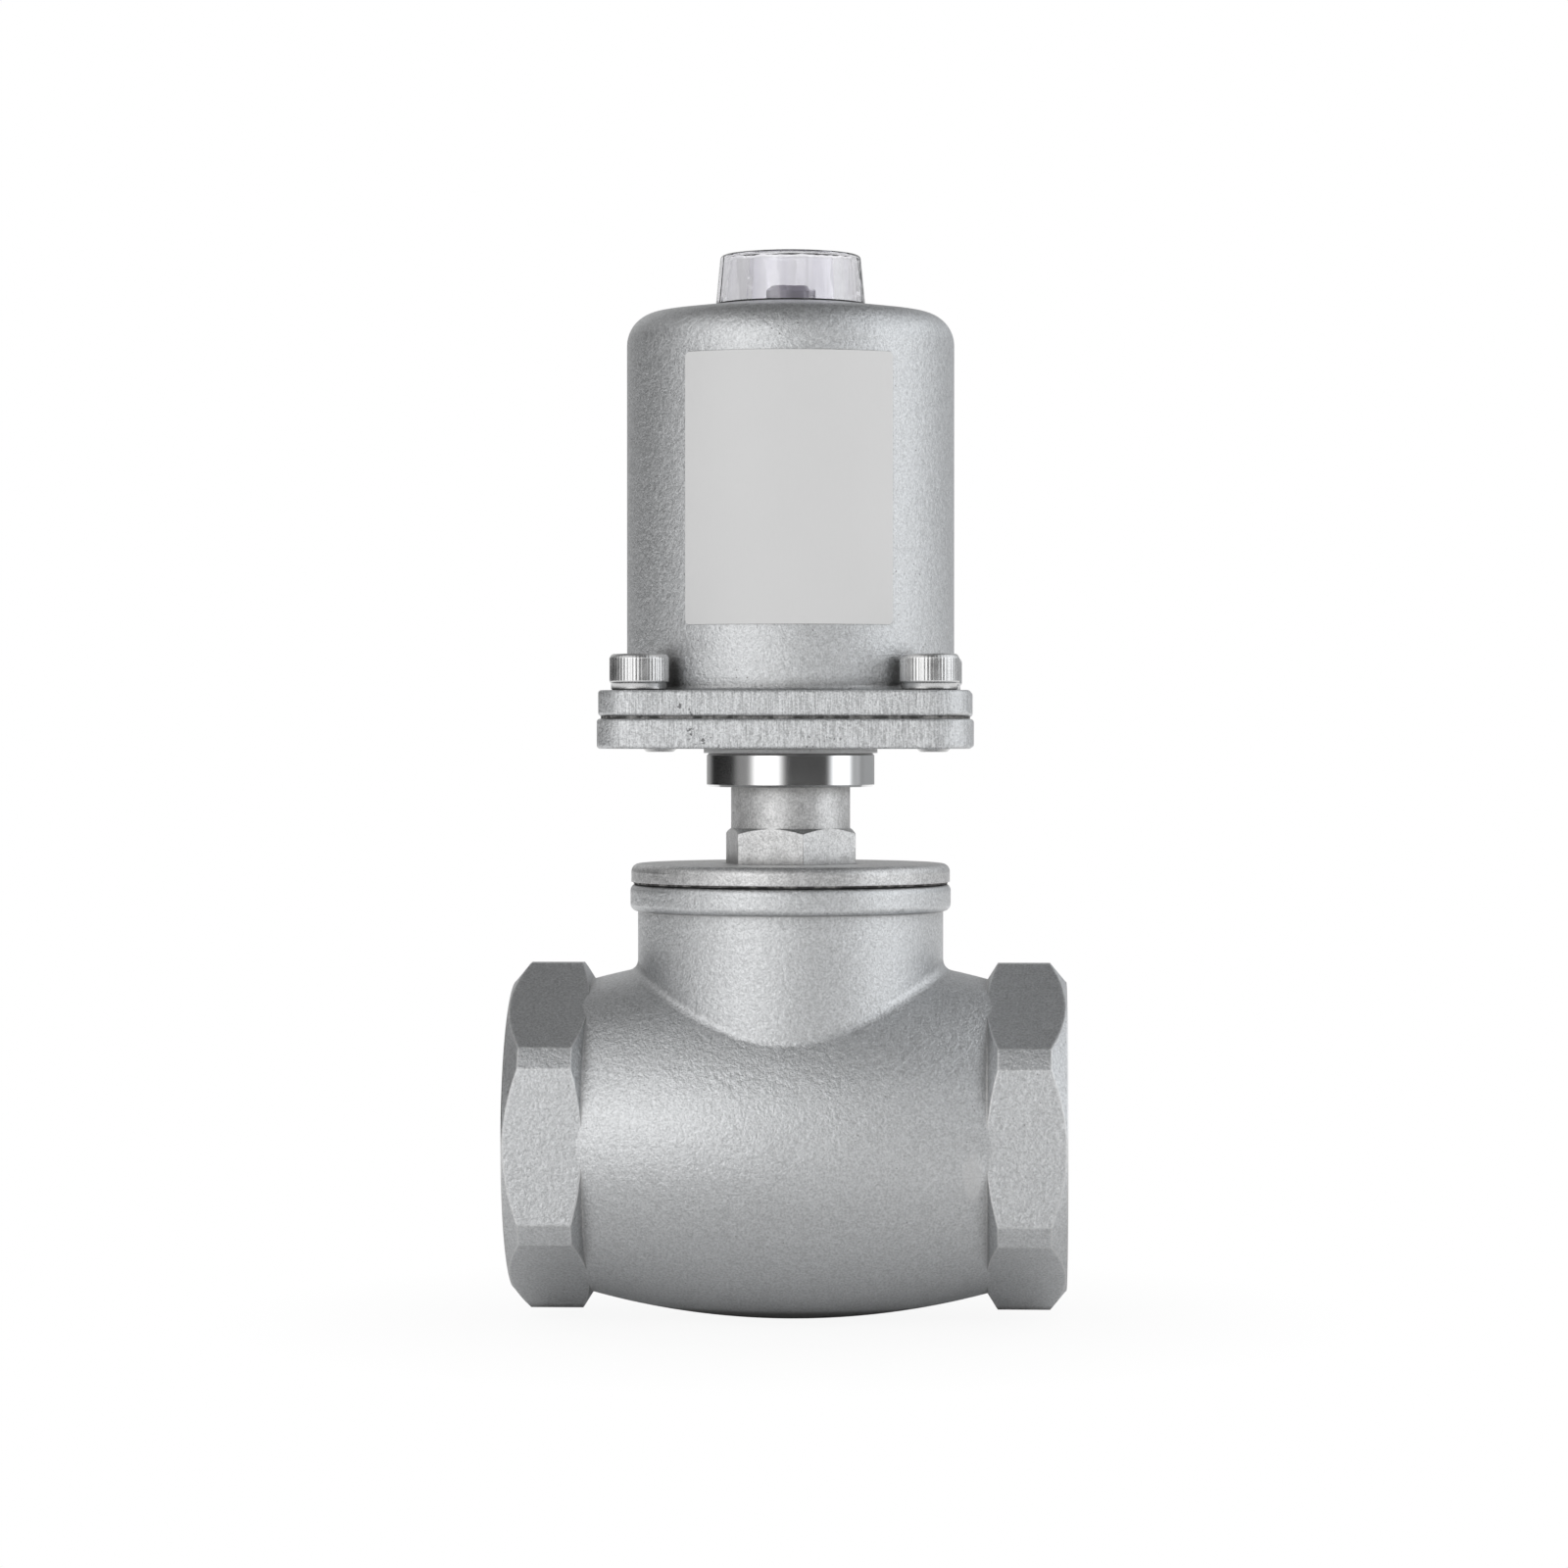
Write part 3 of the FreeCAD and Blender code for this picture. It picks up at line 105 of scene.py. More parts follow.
class ShadeGraph:
    """Node tree of one material, with short calls for the patterns that the finishes share."""

    def __init__(self, name: str) -> None:
        """Start an empty material with its place in metres, as the valve's own frame gives it.

        Args:
            name: Name of the new material.
        """
        self.material = bpy.data.materials.new(name)
        self.material.use_nodes = True
        self.tree = self.material.node_tree
        self.tree.nodes.clear()
        self.place = self.add("ShaderNodeTexCoord").outputs["Object"]

    def add(self, kind: str, values: dict[Any, Any] | None = None, **settings: Any) -> bpy.types.Node:
        """Add one node.

        Args:
            kind: Node type, as Blender names it.
            values: Sockets to link, or constants to set, by input name or index.
            settings: Attributes of the node itself.

        Returns:
            The new node.
        """
        node = self.tree.nodes.new(kind)
        for key, value in settings.items():
            setattr(node, key, value)
        for key, value in (values or {}).items():
            if isinstance(value, bpy.types.NodeSocket):
                self.tree.links.new(value, node.inputs[key])
            else:
                node.inputs[key].default_value = value
        return node

    def stretched(self, scale: Point) -> bpy.types.NodeSocket:
        """Place multiplied by a scale for each axis.

        Args:
            scale: Factors for X, Y and Z.

        Returns:
            The stretched place.
        """
        return self.add("ShaderNodeMapping", {"Vector": self.place, "Scale": scale}).outputs["Vector"]

    def math(self, operation: str, first: Any, second: Any = 0.0) -> bpy.types.NodeSocket:
        """Arithmetic on two values.

        Args:
            operation: Operation, as Blender names it.
            first: Socket or constant.
            second: Socket or constant.

        Returns:
            The result.
        """
        return self.add("ShaderNodeMath", {0: first, 1: second}, operation=operation).outputs[0]

    def noise(
        self, size: float, detail: float = 2.0, rough: float = 0.5, place: bpy.types.NodeSocket | None = None
    ) -> bpy.types.NodeSocket:
        """Cloudy noise.

        Args:
            size: Size of its features, in the unit of the place.
            detail: Octaves of finer noise.
            rough: Weight of the finer octaves.
            place: Place to read, or the plain one.

        Returns:
            Its value, about 0.2 to 0.8.
        """
        values = {"Vector": place or self.place, "Scale": 1.0 / size, "Detail": detail, "Roughness": rough}
        return self.add("ShaderNodeTexNoise", values).outputs["Fac"]

    def cells(self, size: float) -> bpy.types.NodeSocket:
        """Distance to the nearest of scattered points.

        Args:
            size: Spacing of the points in metres.

        Returns:
            The distance, 0 at a point and about 0.5 to 1 between points.
        """
        points = self.add("ShaderNodeTexVoronoi", {"Vector": self.place, "Scale": 1.0 / size})
        return points.outputs["Distance"]

    def levels(
        self, value: bpy.types.NodeSocket, old: tuple[float, float], new: tuple[float, float]
    ) -> bpy.types.NodeSocket:
        """Clamped change of range.

        Args:
            value: Socket to read.
            old: Low and high of the value.
            new: What they become.

        Returns:
            The value in its new range.
        """
        values = {"Value": value, 1: old[0], 2: old[1], 3: new[0], 4: new[1]}
        return self.add("ShaderNodeMapRange", values).outputs["Result"]

    def blend(self, factor: Any, first: Any, second: Any) -> bpy.types.NodeSocket:
        """Colour between two colours.

        Args:
            factor: 0 for the first and 1 for the second.
            first: Socket or red, green, blue, alpha.
            second: Socket or red, green, blue, alpha.

        Returns:
            The colour.
        """
        node = self.add("ShaderNodeMix", {0: factor, 6: first, 7: second}, data_type="RGBA")
        return node.outputs[2]

    def mixed(self, factor: Any, first: Any, second: Any) -> bpy.types.NodeSocket:
        """Number between two numbers.

        Args:
            factor: 0 for the first and 1 for the second.
            first: Socket or number.
            second: Socket or number.

        Returns:
            The number.
        """
        return self.add("ShaderNodeMix", {0: factor, 2: first, 3: second}, data_type="FLOAT").outputs[0]

    def bump(
        self, height: bpy.types.NodeSocket, depth: float, under: bpy.types.NodeSocket | None = None
    ) -> bpy.types.NodeSocket:
        """Surface normal tilted by a height.

        Args:
            height: Height, 0 to 1.
            depth: Metres that a height of 1 stands for.
            under: Normal to add to.

        Returns:
            The tilted normal.
        """
        values: dict[Any, Any] = {"Height": height, "Distance": depth, "Strength": 1.0}
        if under is not None:
            values["Normal"] = under
        return self.add("ShaderNodeBump", values).outputs["Normal"]

    def rounded(self, radius: float) -> bpy.types.NodeSocket:
        """Surface normal with its sharp edges broken.

        Args:
            radius: Radius of the broken edges in metres.

        Returns:
            The softened normal.
        """
        return self.add("ShaderNodeBevel", {"Radius": radius}, samples=4).outputs["Normal"]

    def edge_wear_and_highlight(self, softened: bpy.types.NodeSocket) -> bpy.types.NodeSocket:
        """Share of rubbed metal and painted edge highlight: 1 on broken edges and 0 elsewhere.

        Args:
            softened: Normal with its edges broken.

        Returns:
            The share.
        """
        # Where the softened normal turns away from the true one, the edge is lightened: part rubbed wear,
        # part painted highlight.
        true = self.add("ShaderNodeNewGeometry").outputs["Normal"]
        turned = self.add("ShaderNodeVectorMath", {0: softened, 1: true}, operation="DOT_PRODUCT")
        return self.levels(turned.outputs["Value"], (0.93, 0.995), (1.0, 0.0))

    def painted_shade(self, reach: float) -> bpy.types.NodeSocket:
        """Share of painted shade: 1 deep in a crease or against a neighbour and 0 in the open.

        Args:
            reach: How far from a crease the painted shade ends, in metres.

        Returns:
            The share.
        """
        # Ambient occlusion picks out creases and gaps between parts for painted contact shade.
        clear = self.add("ShaderNodeAmbientOcclusion", {"Distance": reach}, samples=6).outputs["AO"]
        return self.levels(clear, (0.45, 0.95), (1.0, 0.0))

    def surface(self, **values: Any) -> bpy.types.Material:
        """Close the tree with a principled surface.

        Args:
            values: Sockets and constants by input name, with underscores for spaces.

        Returns:
            The finished material.
        """
        named = {key.replace("_", " "): value for key, value in values.items()}
        shader = self.add("ShaderNodeBsdfPrincipled", named)
        self.add("ShaderNodeOutputMaterial", {"Surface": shader.outputs[0]})
        return self.material


def grey(level: float, warmth: float = 0.0) -> tuple[float, float, float, float]:
    """Grey of a level, tilted a little to red when warmth is above 0 and to blue below it."""
    return (level * (1 + warmth), level, level * (1 - warmth), 1.0)


@dataclass(frozen=True)
class BlastedSteel:
    """Bead-blasted stainless casting: fine bright grain, soft mottling, a few pits and a gentle swell."""

    name: str
    slot: Slot
    light: float = 0.75
    dark: float = 0.53
    warmth: float = -0.015
    roughness: float = 0.40
    grain_size: float = 0.00052
    grain_depth: float = 0.00011
    swell_depth: float = 0.00022
    mottle_share: float = 0.16
    pit_spacing: float = 0.0016
    pit_reach: float = 0.11
    edge_radius: float = 0.0008
    crease_reach: float = 0.0035
    crease_shade: float = 0.8

    def pattern(self, graph: ShadeGraph) -> dict[str, Any]:
        """Colour, roughness and normal of the blasted skin.

        Args:
            graph: Tree to add to.

        Returns:
            Sockets by input name.
        """
        grain = graph.noise(self.grain_size, 3.0, 0.7)
        mottle = graph.noise(self.grain_size * 2.6, 3.0, 0.6)
        swell = graph.noise(0.016, 2.0, 0.5)
        softened = graph.rounded(self.edge_radius)
        share = self.mottle_share
        fine, coarse = graph.math("MULTIPLY", grain, 1 - share), graph.math("MULTIPLY", mottle, share)
        shade = graph.math("ADD", fine, coarse)
        tone = graph.levels(shade, (0.38, 0.62), (0.0, 1.0))
        skin = graph.blend(tone, grey(self.dark, self.warmth), grey(self.light, self.warmth))
        scatter = graph.noise(self.pit_spacing * 2.2, 1.0)
        spared = graph.levels(scatter, (0.45, 0.62), (0.5, 0.0))
        near = graph.math("ADD", graph.cells(self.pit_spacing), spared)
        pit = graph.levels(near, (self.pit_reach * 0.5, self.pit_reach), (1.0, 0.0))
        pitted = graph.blend(pit, skin, grey(self.dark * 0.45, 0.02))
        # Broken edges lighten towards a pale grey: partly rubbed wear, partly a painted edge highlight.
        worn_and_highlit = graph.blend(graph.math("MULTIPLY", graph.edge_wear_and_highlight(softened), 0.8), pitted, grey(self.light * 1.18))
        # Creases and joints darken to a warm near-black: painted contact shade.
        crease_shadow = graph.math("MULTIPLY", graph.painted_shade(self.crease_reach), self.crease_shade)
        colour = graph.blend(crease_shadow, worn_and_highlit, grey(self.dark * 0.25, 0.03))
        normal = graph.bump(swell, self.swell_depth, softened)
        normal = graph.bump(mottle, self.grain_depth * 1.8, normal)
        normal = graph.bump(grain, self.grain_depth, normal)
        roughness = graph.levels(mottle, (0.3, 0.7), (self.roughness - 0.04, self.roughness + 0.05))
        return {"Base_Color": colour, "Roughness": roughness, "Normal": normal}

    def material(self) -> bpy.types.Material:
        """Material of the blasted skin alone."""
        graph = ShadeGraph(self.name)
        return graph.surface(Metallic=1.0, **self.pattern(graph))


@dataclass(frozen=True)
class BlastedBody(BlastedSteel):
    """Blasted casting whose pipe-end faces and threaded ports are machined bright."""

    face_x: float = 0.06225
    port_x: float = 0.0384
    port_radius: float = 0.02995
    cut_spacing: float = 0.00016
    scar: Point = (0.1042, -0.0330, -0.0065)
    scar_reach: Point = (0.0026, 0.02, 0.0064)
    scar_height: float = 0.00022
    scar_share: float = 0.45
    turned_light: float = 0.74
    turned_dark: float = 0.58
    turned_roughness: float = 0.26
    cut_depth: float = 0.000006

    def material(self) -> bpy.types.Material:
        """Material with the blasted skin outside and turned metal at the pipe ends."""
        graph = ShadeGraph(self.name)
        skin = self.pattern(graph)
        parts = graph.add("ShaderNodeSeparateXYZ", {0: graph.place})
        along = graph.math("ABSOLUTE", graph.math("SUBTRACT", parts.outputs[0], STEM_X))
        flat = graph.add("ShaderNodeCombineXYZ", {1: parts.outputs[1], 2: parts.outputs[2]})
        radius = graph.add("ShaderNodeVectorMath", {0: flat.outputs[0]}, operation="LENGTH").outputs["Value"]
        on_face = graph.math("GREATER_THAN", along, self.face_x)
        in_port = graph.math("MULTIPLY", graph.math("GREATER_THAN", along, self.port_x),
                             graph.math("LESS_THAN", radius, self.port_radius))
        turned = graph.math("MAXIMUM", on_face, in_port)
        lathe_place = graph.add("ShaderNodeCombineXYZ", {0: radius, 1: along})
        cuts = graph.noise(self.cut_spacing, 2.0, 0.6, lathe_place.outputs[0])
        bright = graph.blend(cuts, grey(self.turned_dark), grey(self.turned_light))
        away = graph.add("ShaderNodeVectorMath", {0: graph.place, 1: self.scar}, operation="SUBTRACT")
        away_place = {0: away.outputs[0], 1: self.scar_reach}
        within = graph.add("ShaderNodeVectorMath", away_place, operation="DIVIDE")
        from_scar = graph.add("ShaderNodeVectorMath", {0: within.outputs[0]}, operation="LENGTH")
        raised = graph.levels(from_scar.outputs["Value"], (0.65, 1.05), (1.0, 0.0))
        scarred = graph.bump(raised, self.scar_height, skin["Normal"])
        rubbed = graph.math("MULTIPLY", raised, self.scar_share)
        healed = graph.blend(rubbed, skin["Base_Color"], grey(self.light))
        return graph.surface(
            Metallic=1.0,
            Base_Color=graph.blend(turned, healed, bright),
            Roughness=graph.mixed(turned, skin["Roughness"], self.turned_roughness),
            Normal=graph.add(
                "ShaderNodeMix",
                {0: turned, 4: scarred, 5: graph.bump(cuts, self.cut_depth)},
                data_type="VECTOR",
            ).outputs[1],
        )


@dataclass(frozen=True)
class BlastedPlate(BlastedSteel):
    """Blasted square flange whose sawn and linished rim keeps fine upright lines."""

    rim: float = 0.0389
    line_size: float = 0.00034
    nick_size: float = 0.0011
    line_depth: float = 0.0001

    def material(self) -> bpy.types.Material:
        """Material with the blasted skin, and upright lines and small nicks on the rim."""
        graph = ShadeGraph(self.name)
        skin = self.pattern(graph)
        parts = graph.add("ShaderNodeSeparateXYZ", {0: graph.place})
        across = graph.math("ABSOLUTE", graph.math("SUBTRACT", parts.outputs[0], STEM_X))
        deep = graph.math("ABSOLUTE", parts.outputs[1])
        on_rim = graph.levels(graph.math("MAXIMUM", across, deep), (self.rim, self.rim + 0.001), (0.0, 1.0))
        lines = graph.noise(self.line_size, 3.0, 0.6, graph.stretched((1.0, 1.0, 0.07)))
        speckle = graph.noise(self.line_size * 1.3, 2.0, 0.6)
        streak = graph.levels(graph.math("ADD", lines, speckle), (0.80, 1.20), (0.0, 1.0))
        lined = graph.blend(streak, grey(self.dark * 0.80, self.warmth), grey(self.light * 1.10, self.warmth))
        patch = graph.levels(graph.noise(self.nick_size * 9, 1.0), (0.50, 0.62), (0.0, 1.0))
        nick = graph.levels(graph.noise(self.nick_size, 2.0, 0.6), (0.64, 0.70), (0.0, 1.0))
        nicked = graph.math("MULTIPLY", graph.math("MULTIPLY", nick, patch), on_rim)
        rim_skin = graph.blend(graph.math("MULTIPLY", on_rim, 0.8), skin["Base_Color"], lined)
        height = graph.math("MULTIPLY", lines, on_rim)
        return graph.surface(
            Metallic=1.0,
            Base_Color=graph.blend(nicked, rim_skin, grey(self.dark * 0.4, self.warmth)),
            Roughness=skin["Roughness"],
            Normal=graph.bump(height, self.line_depth, skin["Normal"]),
        )


@dataclass(frozen=True)
class TurnedSteel:
    """Lathe-turned stainless steel about the stem axis: fine rings with a soft sheen."""

    name: str
    slot: Slot
    light: float = 0.72
    dark: float = 0.58
    roughness: float = 0.28
    cut_spacing: float = 0.00014
    cut_depth: float = 0.000006
    grain_size: float = 0.0005
    grain_depth: float = 0.0
    edge_radius: float = 0.0003
    crease_reach: float = 0.003
    crease_shade: float = 0.75

    def material(self) -> bpy.types.Material:
        """Material with rings about the stem axis."""
        graph = ShadeGraph(self.name)
        parts = graph.add("ShaderNodeSeparateXYZ", {0: graph.place})
        across = graph.math("SUBTRACT", parts.outputs[0], STEM_X)
        flat = graph.add("ShaderNodeCombineXYZ", {0: across, 1: parts.outputs[1]})
        radius = graph.add("ShaderNodeVectorMath", {0: flat.outputs[0]}, operation="LENGTH").outputs["Value"]
        lathe_place = graph.add("ShaderNodeCombineXYZ", {0: radius, 1: parts.outputs[2]})
        cuts = graph.noise(self.cut_spacing, 2.0, 0.6, lathe_place.outputs[0])
        cloud = graph.noise(0.004, 3.0, 0.6)
        clouded = graph.math("ADD", cuts, graph.math("MULTIPLY", cloud, 0.5))
        tone = graph.levels(clouded, (0.55, 0.95), (0.0, 1.0))
        normal = graph.bump(cuts, self.cut_depth, graph.rounded(self.edge_radius))
        if self.grain_depth:
            grain = graph.noise(self.grain_size, 3.0, 0.7)
            blotch = graph.noise(self.grain_size * 5, 3.0, 0.6)
            normal = graph.bump(blotch, self.grain_depth * 2, normal)
            normal = graph.bump(grain, self.grain_depth, normal)
            shade = graph.math("ADD", graph.math("MULTIPLY", grain, 0.7), graph.math("MULTIPLY", blotch, 0.3))
            tone = graph.levels(shade, (0.40, 0.60), (0.0, 1.0))
        skin = graph.blend(tone, grey(self.dark), grey(self.light))
        # Creases and joints darken to a warm near-black: painted contact shade.
        crease_shadow = graph.math("MULTIPLY", graph.painted_shade(self.crease_reach), self.crease_shade)
        return graph.surface(
            Metallic=1.0,
            Base_Color=graph.blend(crease_shadow, skin, grey(self.dark * 0.25, 0.03)),
            Roughness=graph.levels(cloud, (0.3, 0.7), (self.roughness - 0.04, self.roughness + 0.05)),
            Normal=normal,
        )


@dataclass(frozen=True)
class PlainPlastic:
    """Moulded plastic or rubber: faint flow clouds, fine skin texture and a soft gloss."""

    name: str
    slot: Slot
    colour: Point
    roughness: float = 0.4
    variation: float = 0.12
    skin_size: float = 0.0004
    skin_depth: float = 0.00001

    def material(self) -> bpy.types.Material:
        """Material of the moulded skin."""
        graph = ShadeGraph(self.name)
        cloud = graph.noise(0.003, 3.0, 0.6)
        skin = graph.noise(self.skin_size, 2.0, 0.6)
        low = tuple(c * (1 - self.variation) for c in self.colour) + (1.0,)
        high = tuple(min(1.0, c * (1 + self.variation)) for c in self.colour) + (1.0,)
        return graph.surface(
            Base_Color=graph.blend(graph.levels(cloud, (0.3, 0.7), (0.0, 1.0)), low, high),
            Roughness=graph.levels(skin, (0.3, 0.7), (self.roughness - 0.05, self.roughness + 0.07)),
            Normal=graph.bump(skin, self.skin_depth),
        )


@dataclass(frozen=True)
class FibreGasket:
    """Pressed fibre sheet whose squeezed edge is dark with paler dry patches."""

    name: str
    slot: Slot
    dark: float = 0.045
    pale: float = 0.32
    patch_size: float = 0.0024
    roughness: float = 0.75
    fibre_depth: float = 0.00004

    def material(self) -> bpy.types.Material:
        """Material of the gasket sheet."""
        graph = ShadeGraph(self.name)
        fibre = graph.noise(0.0004, 3.0, 0.6, graph.stretched((1.0, 1.0, 0.4)))
        patch = graph.levels(graph.noise(self.patch_size, 3.0, 0.6), (0.46, 0.62), (0.0, 1.0))
        frayed = graph.math("MULTIPLY", patch, graph.levels(fibre, (0.35, 0.6), (0.3, 1.0)))
        return graph.surface(
            Base_Color=graph.blend(frayed, grey(self.dark, 0.02), grey(self.pale, 0.02)),
            Roughness=graph.levels(fibre, (0.3, 0.7), (self.roughness - 0.1, self.roughness + 0.1)),
            Normal=graph.bump(fibre, self.fibre_depth),
        )


@dataclass(frozen=True)
class ClearPlastic:
    """Clear polycarbonate with a cool lilac body and faint moulding ripples."""

    name: str = "clear_polycarbonate"
    slot: Slot = Slot.CLEAR_PLASTIC
    roughness: float = 0.04
    streak_depth: float = 0.0003
    ripple_depth: float = 0.00008

    def material(self) -> bpy.types.Material:
        """Material of the clear cap."""
        graph = ShadeGraph(self.name)
        ripple = graph.noise(0.004, 2.0, 0.5)
        scuff = graph.noise(0.0006, 3.0, 0.6, graph.stretched((1.0, 1.0, 0.2)))
        streak = graph.noise(0.0028, 1.0, 0.5, graph.stretched((1.0, 1.0, 0.12)))
        tint = graph.blend(graph.levels(streak, (0.35, 0.65), (0.0, 1.0)), (0.88, 0.87, 0.92, 1.0),
                           (0.94, 0.935, 0.965, 1.0))
        return graph.surface(
            Base_Color=tint,
            Roughness=graph.levels(scuff, (0.45, 0.75), (self.roughness, self.roughness + 0.10)),
            Transmission_Weight=1.0,
            IOR=1.585,
            Normal=graph.bump(streak, self.streak_depth, graph.bump(ripple, self.ripple_depth)),
        )


@dataclass(frozen=True)
class BlankFoil:
    """Blank light grey label foil: matt face with a faint fibre and slightly darker edge."""

    name: str = "blank_foil"
    level: float = 0.70
    roughness: float = 0.5
    fibre_depth: float = 0.000008

    def material(self) -> bpy.types.Material:
        """Material of the label foil."""
        graph = ShadeGraph(self.name)
        fibre = graph.noise(0.0005, 4.0, 0.6, graph.stretched((1.0, 1.0, 0.35)))
        cloud = graph.noise(0.012, 2.0, 0.5)
        tone = graph.math("ADD", graph.math("MULTIPLY", fibre, 0.5), graph.math("MULTIPLY", cloud, 0.5))
        return graph.surface(
            Base_Color=graph.blend(tone, grey(self.level * 0.97), grey(self.level * 1.03)),
            Roughness=graph.levels(fibre, (0.3, 0.7), (self.roughness - 0.04, self.roughness + 0.06)),
            Normal=graph.bump(fibre, self.fibre_depth),
        )


Finish = BlastedSteel | TurnedSteel | PlainPlastic | FibreGasket | ClearPlastic | BlankFoil


def dress_node(node: str, finish: Finish) -> None:
    """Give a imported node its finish.

    Args:
        node: Name of the node.
        finish: Finish to build or reuse.
    """
    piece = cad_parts[node]
    material = bpy.data.materials.get(finish.name) or finish.material()
    piece.data.materials.clear()
    piece.data.materials.append(material)
    LOG.info("%s wears %s", node, finish.name)


def add_piece(
    name: str, points: Sequence[Point], faces: Sequence[Sequence[int]], finish: Finish, body: Body
) -> bpy.types.Object:
    """Make a new solid piece that rides on a body.

    Args:
        name: Name of the piece.
        points: Vertices in the valve's frame, in metres.
        faces: Vertex numbers of each face.
        finish: Finish to build or reuse.
        body: Body that carries the piece.

    Returns:
        The new object.
    """
    mesh = bpy.data.meshes.new(name)
    mesh.from_pydata(points, [], faces)
    mesh.validate()
    mesh.materials.append(bpy.data.materials.get(finish.name) or finish.material())
    mesh.shade_smooth()
    mesh.set_sharp_from_angle(angle=math.radians(35))
    piece = bpy.data.objects.new(name, mesh)
    bpy.context.scene.collection.objects.link(piece)
    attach(piece, body.value)
    LOG.info("%s rides on %s with %d faces", name, body.value, len(mesh.polygons))
    return piece


def joined_rings(rings: Sequence[Ring], looped: bool) -> tuple[list[Point], list[list[int]]]:
    """Skin over a row of rings that all have the same number of points.

    Args:
        rings: Rings in order.
        looped: True to join the last ring to the first, False to close both with a face.

    Returns:
        Points and faces of the closed skin.
    """
    count = len(rings[0])
    points = [point for ring in rings for point in ring]
    faces = []
    for k in range(len(rings) if looped else len(rings) - 1):
        here, after = k * count, (k + 1) % len(rings) * count
        for i in range(count):
            j = (i + 1) % count
            faces.append([here + i, here + j, after + j, after + i])
    if not looped:
        faces.append(list(range(count))[::-1])
        faces.append([(len(rings) - 1) * count + i for i in range(count)])
    return points, faces


def fade(value: float, low: float, high: float) -> float:
    """Straight rise from 0 at low to 1 at high, flat beyond both."""
    return min(1.0, max(0.0, (value - low) / (high - low)))


@dataclass
class InnerThread:
    """Ridges of a parallel pipe thread inside a port, as a thin sleeve on the port's wall."""

    name: str
    body: Body
    finish: Finish
    slot: Slot
    mouth: Vector
    inward: Vector
    wall_radius: float = 0.0298
    ridge_height: float = 0.00147
    pitch: float = 0.002309
    length: float = 0.0236
    skin: float = 0.00006
    turns_steps: int = 144
    pitch_steps: int = 12

    def radius_at(self, depth: float, turn: float) -> float:
        """Inner radius of the sleeve.

        Args:
            depth: Distance in from the mouth.
            turn: Share of a full turn.

        Returns:
            Radius in metres.
        """
        phase = (depth / self.pitch - turn) % 1.0
        ridge = min(1.0, max(0.0, (1 - abs(2 * phase - 1) - 0.16) / 0.68))
        lead = fade(depth, 0.2 * self.pitch, 0.9 * self.pitch)
        run_out = fade(self.length - depth, 0.0, 0.8 * self.pitch)
        return self.wall_radius - self.skin * 1.5 - self.ridge_height * ridge * lead * run_out

    def build(self) -> bpy.types.Object:
        """Build the sleeve.

        Returns:
            The new piece.
        """
        side = self.inward.orthogonal().normalized()
        other = self.inward.cross(side)
        steps = int(self.length / self.pitch * self.pitch_steps)
        depths = [0.0001 + (self.length - 0.0001) * k / steps for k in range(steps + 1)]
        turns = [i / self.turns_steps for i in range(self.turns_steps)]

        def ring(depth: float, radius_of: Callable[[float, float], float]) -> Ring:
            """Points of one ring at a depth."""
            points = []
            for turn in turns:
                angle = 2 * math.pi * turn
                spoke = side * math.cos(angle) + other * math.sin(angle)
                points.append(tuple(self.mouth + self.inward * depth + spoke * radius_of(depth, turn)))
            return points

        def outer(_depth: float, _turn: float) -> float:
            """Outer radius, a hair inside the port's wall."""
            return self.wall_radius - self.skin

        rings = [ring(depth, self.radius_at) for depth in depths]
        rings += [ring(depths[-1], outer), ring(depths[0], outer)]
        points, faces = joined_rings(rings, looped=True)
        return add_piece(self.name, points, faces, self.finish, self.body)


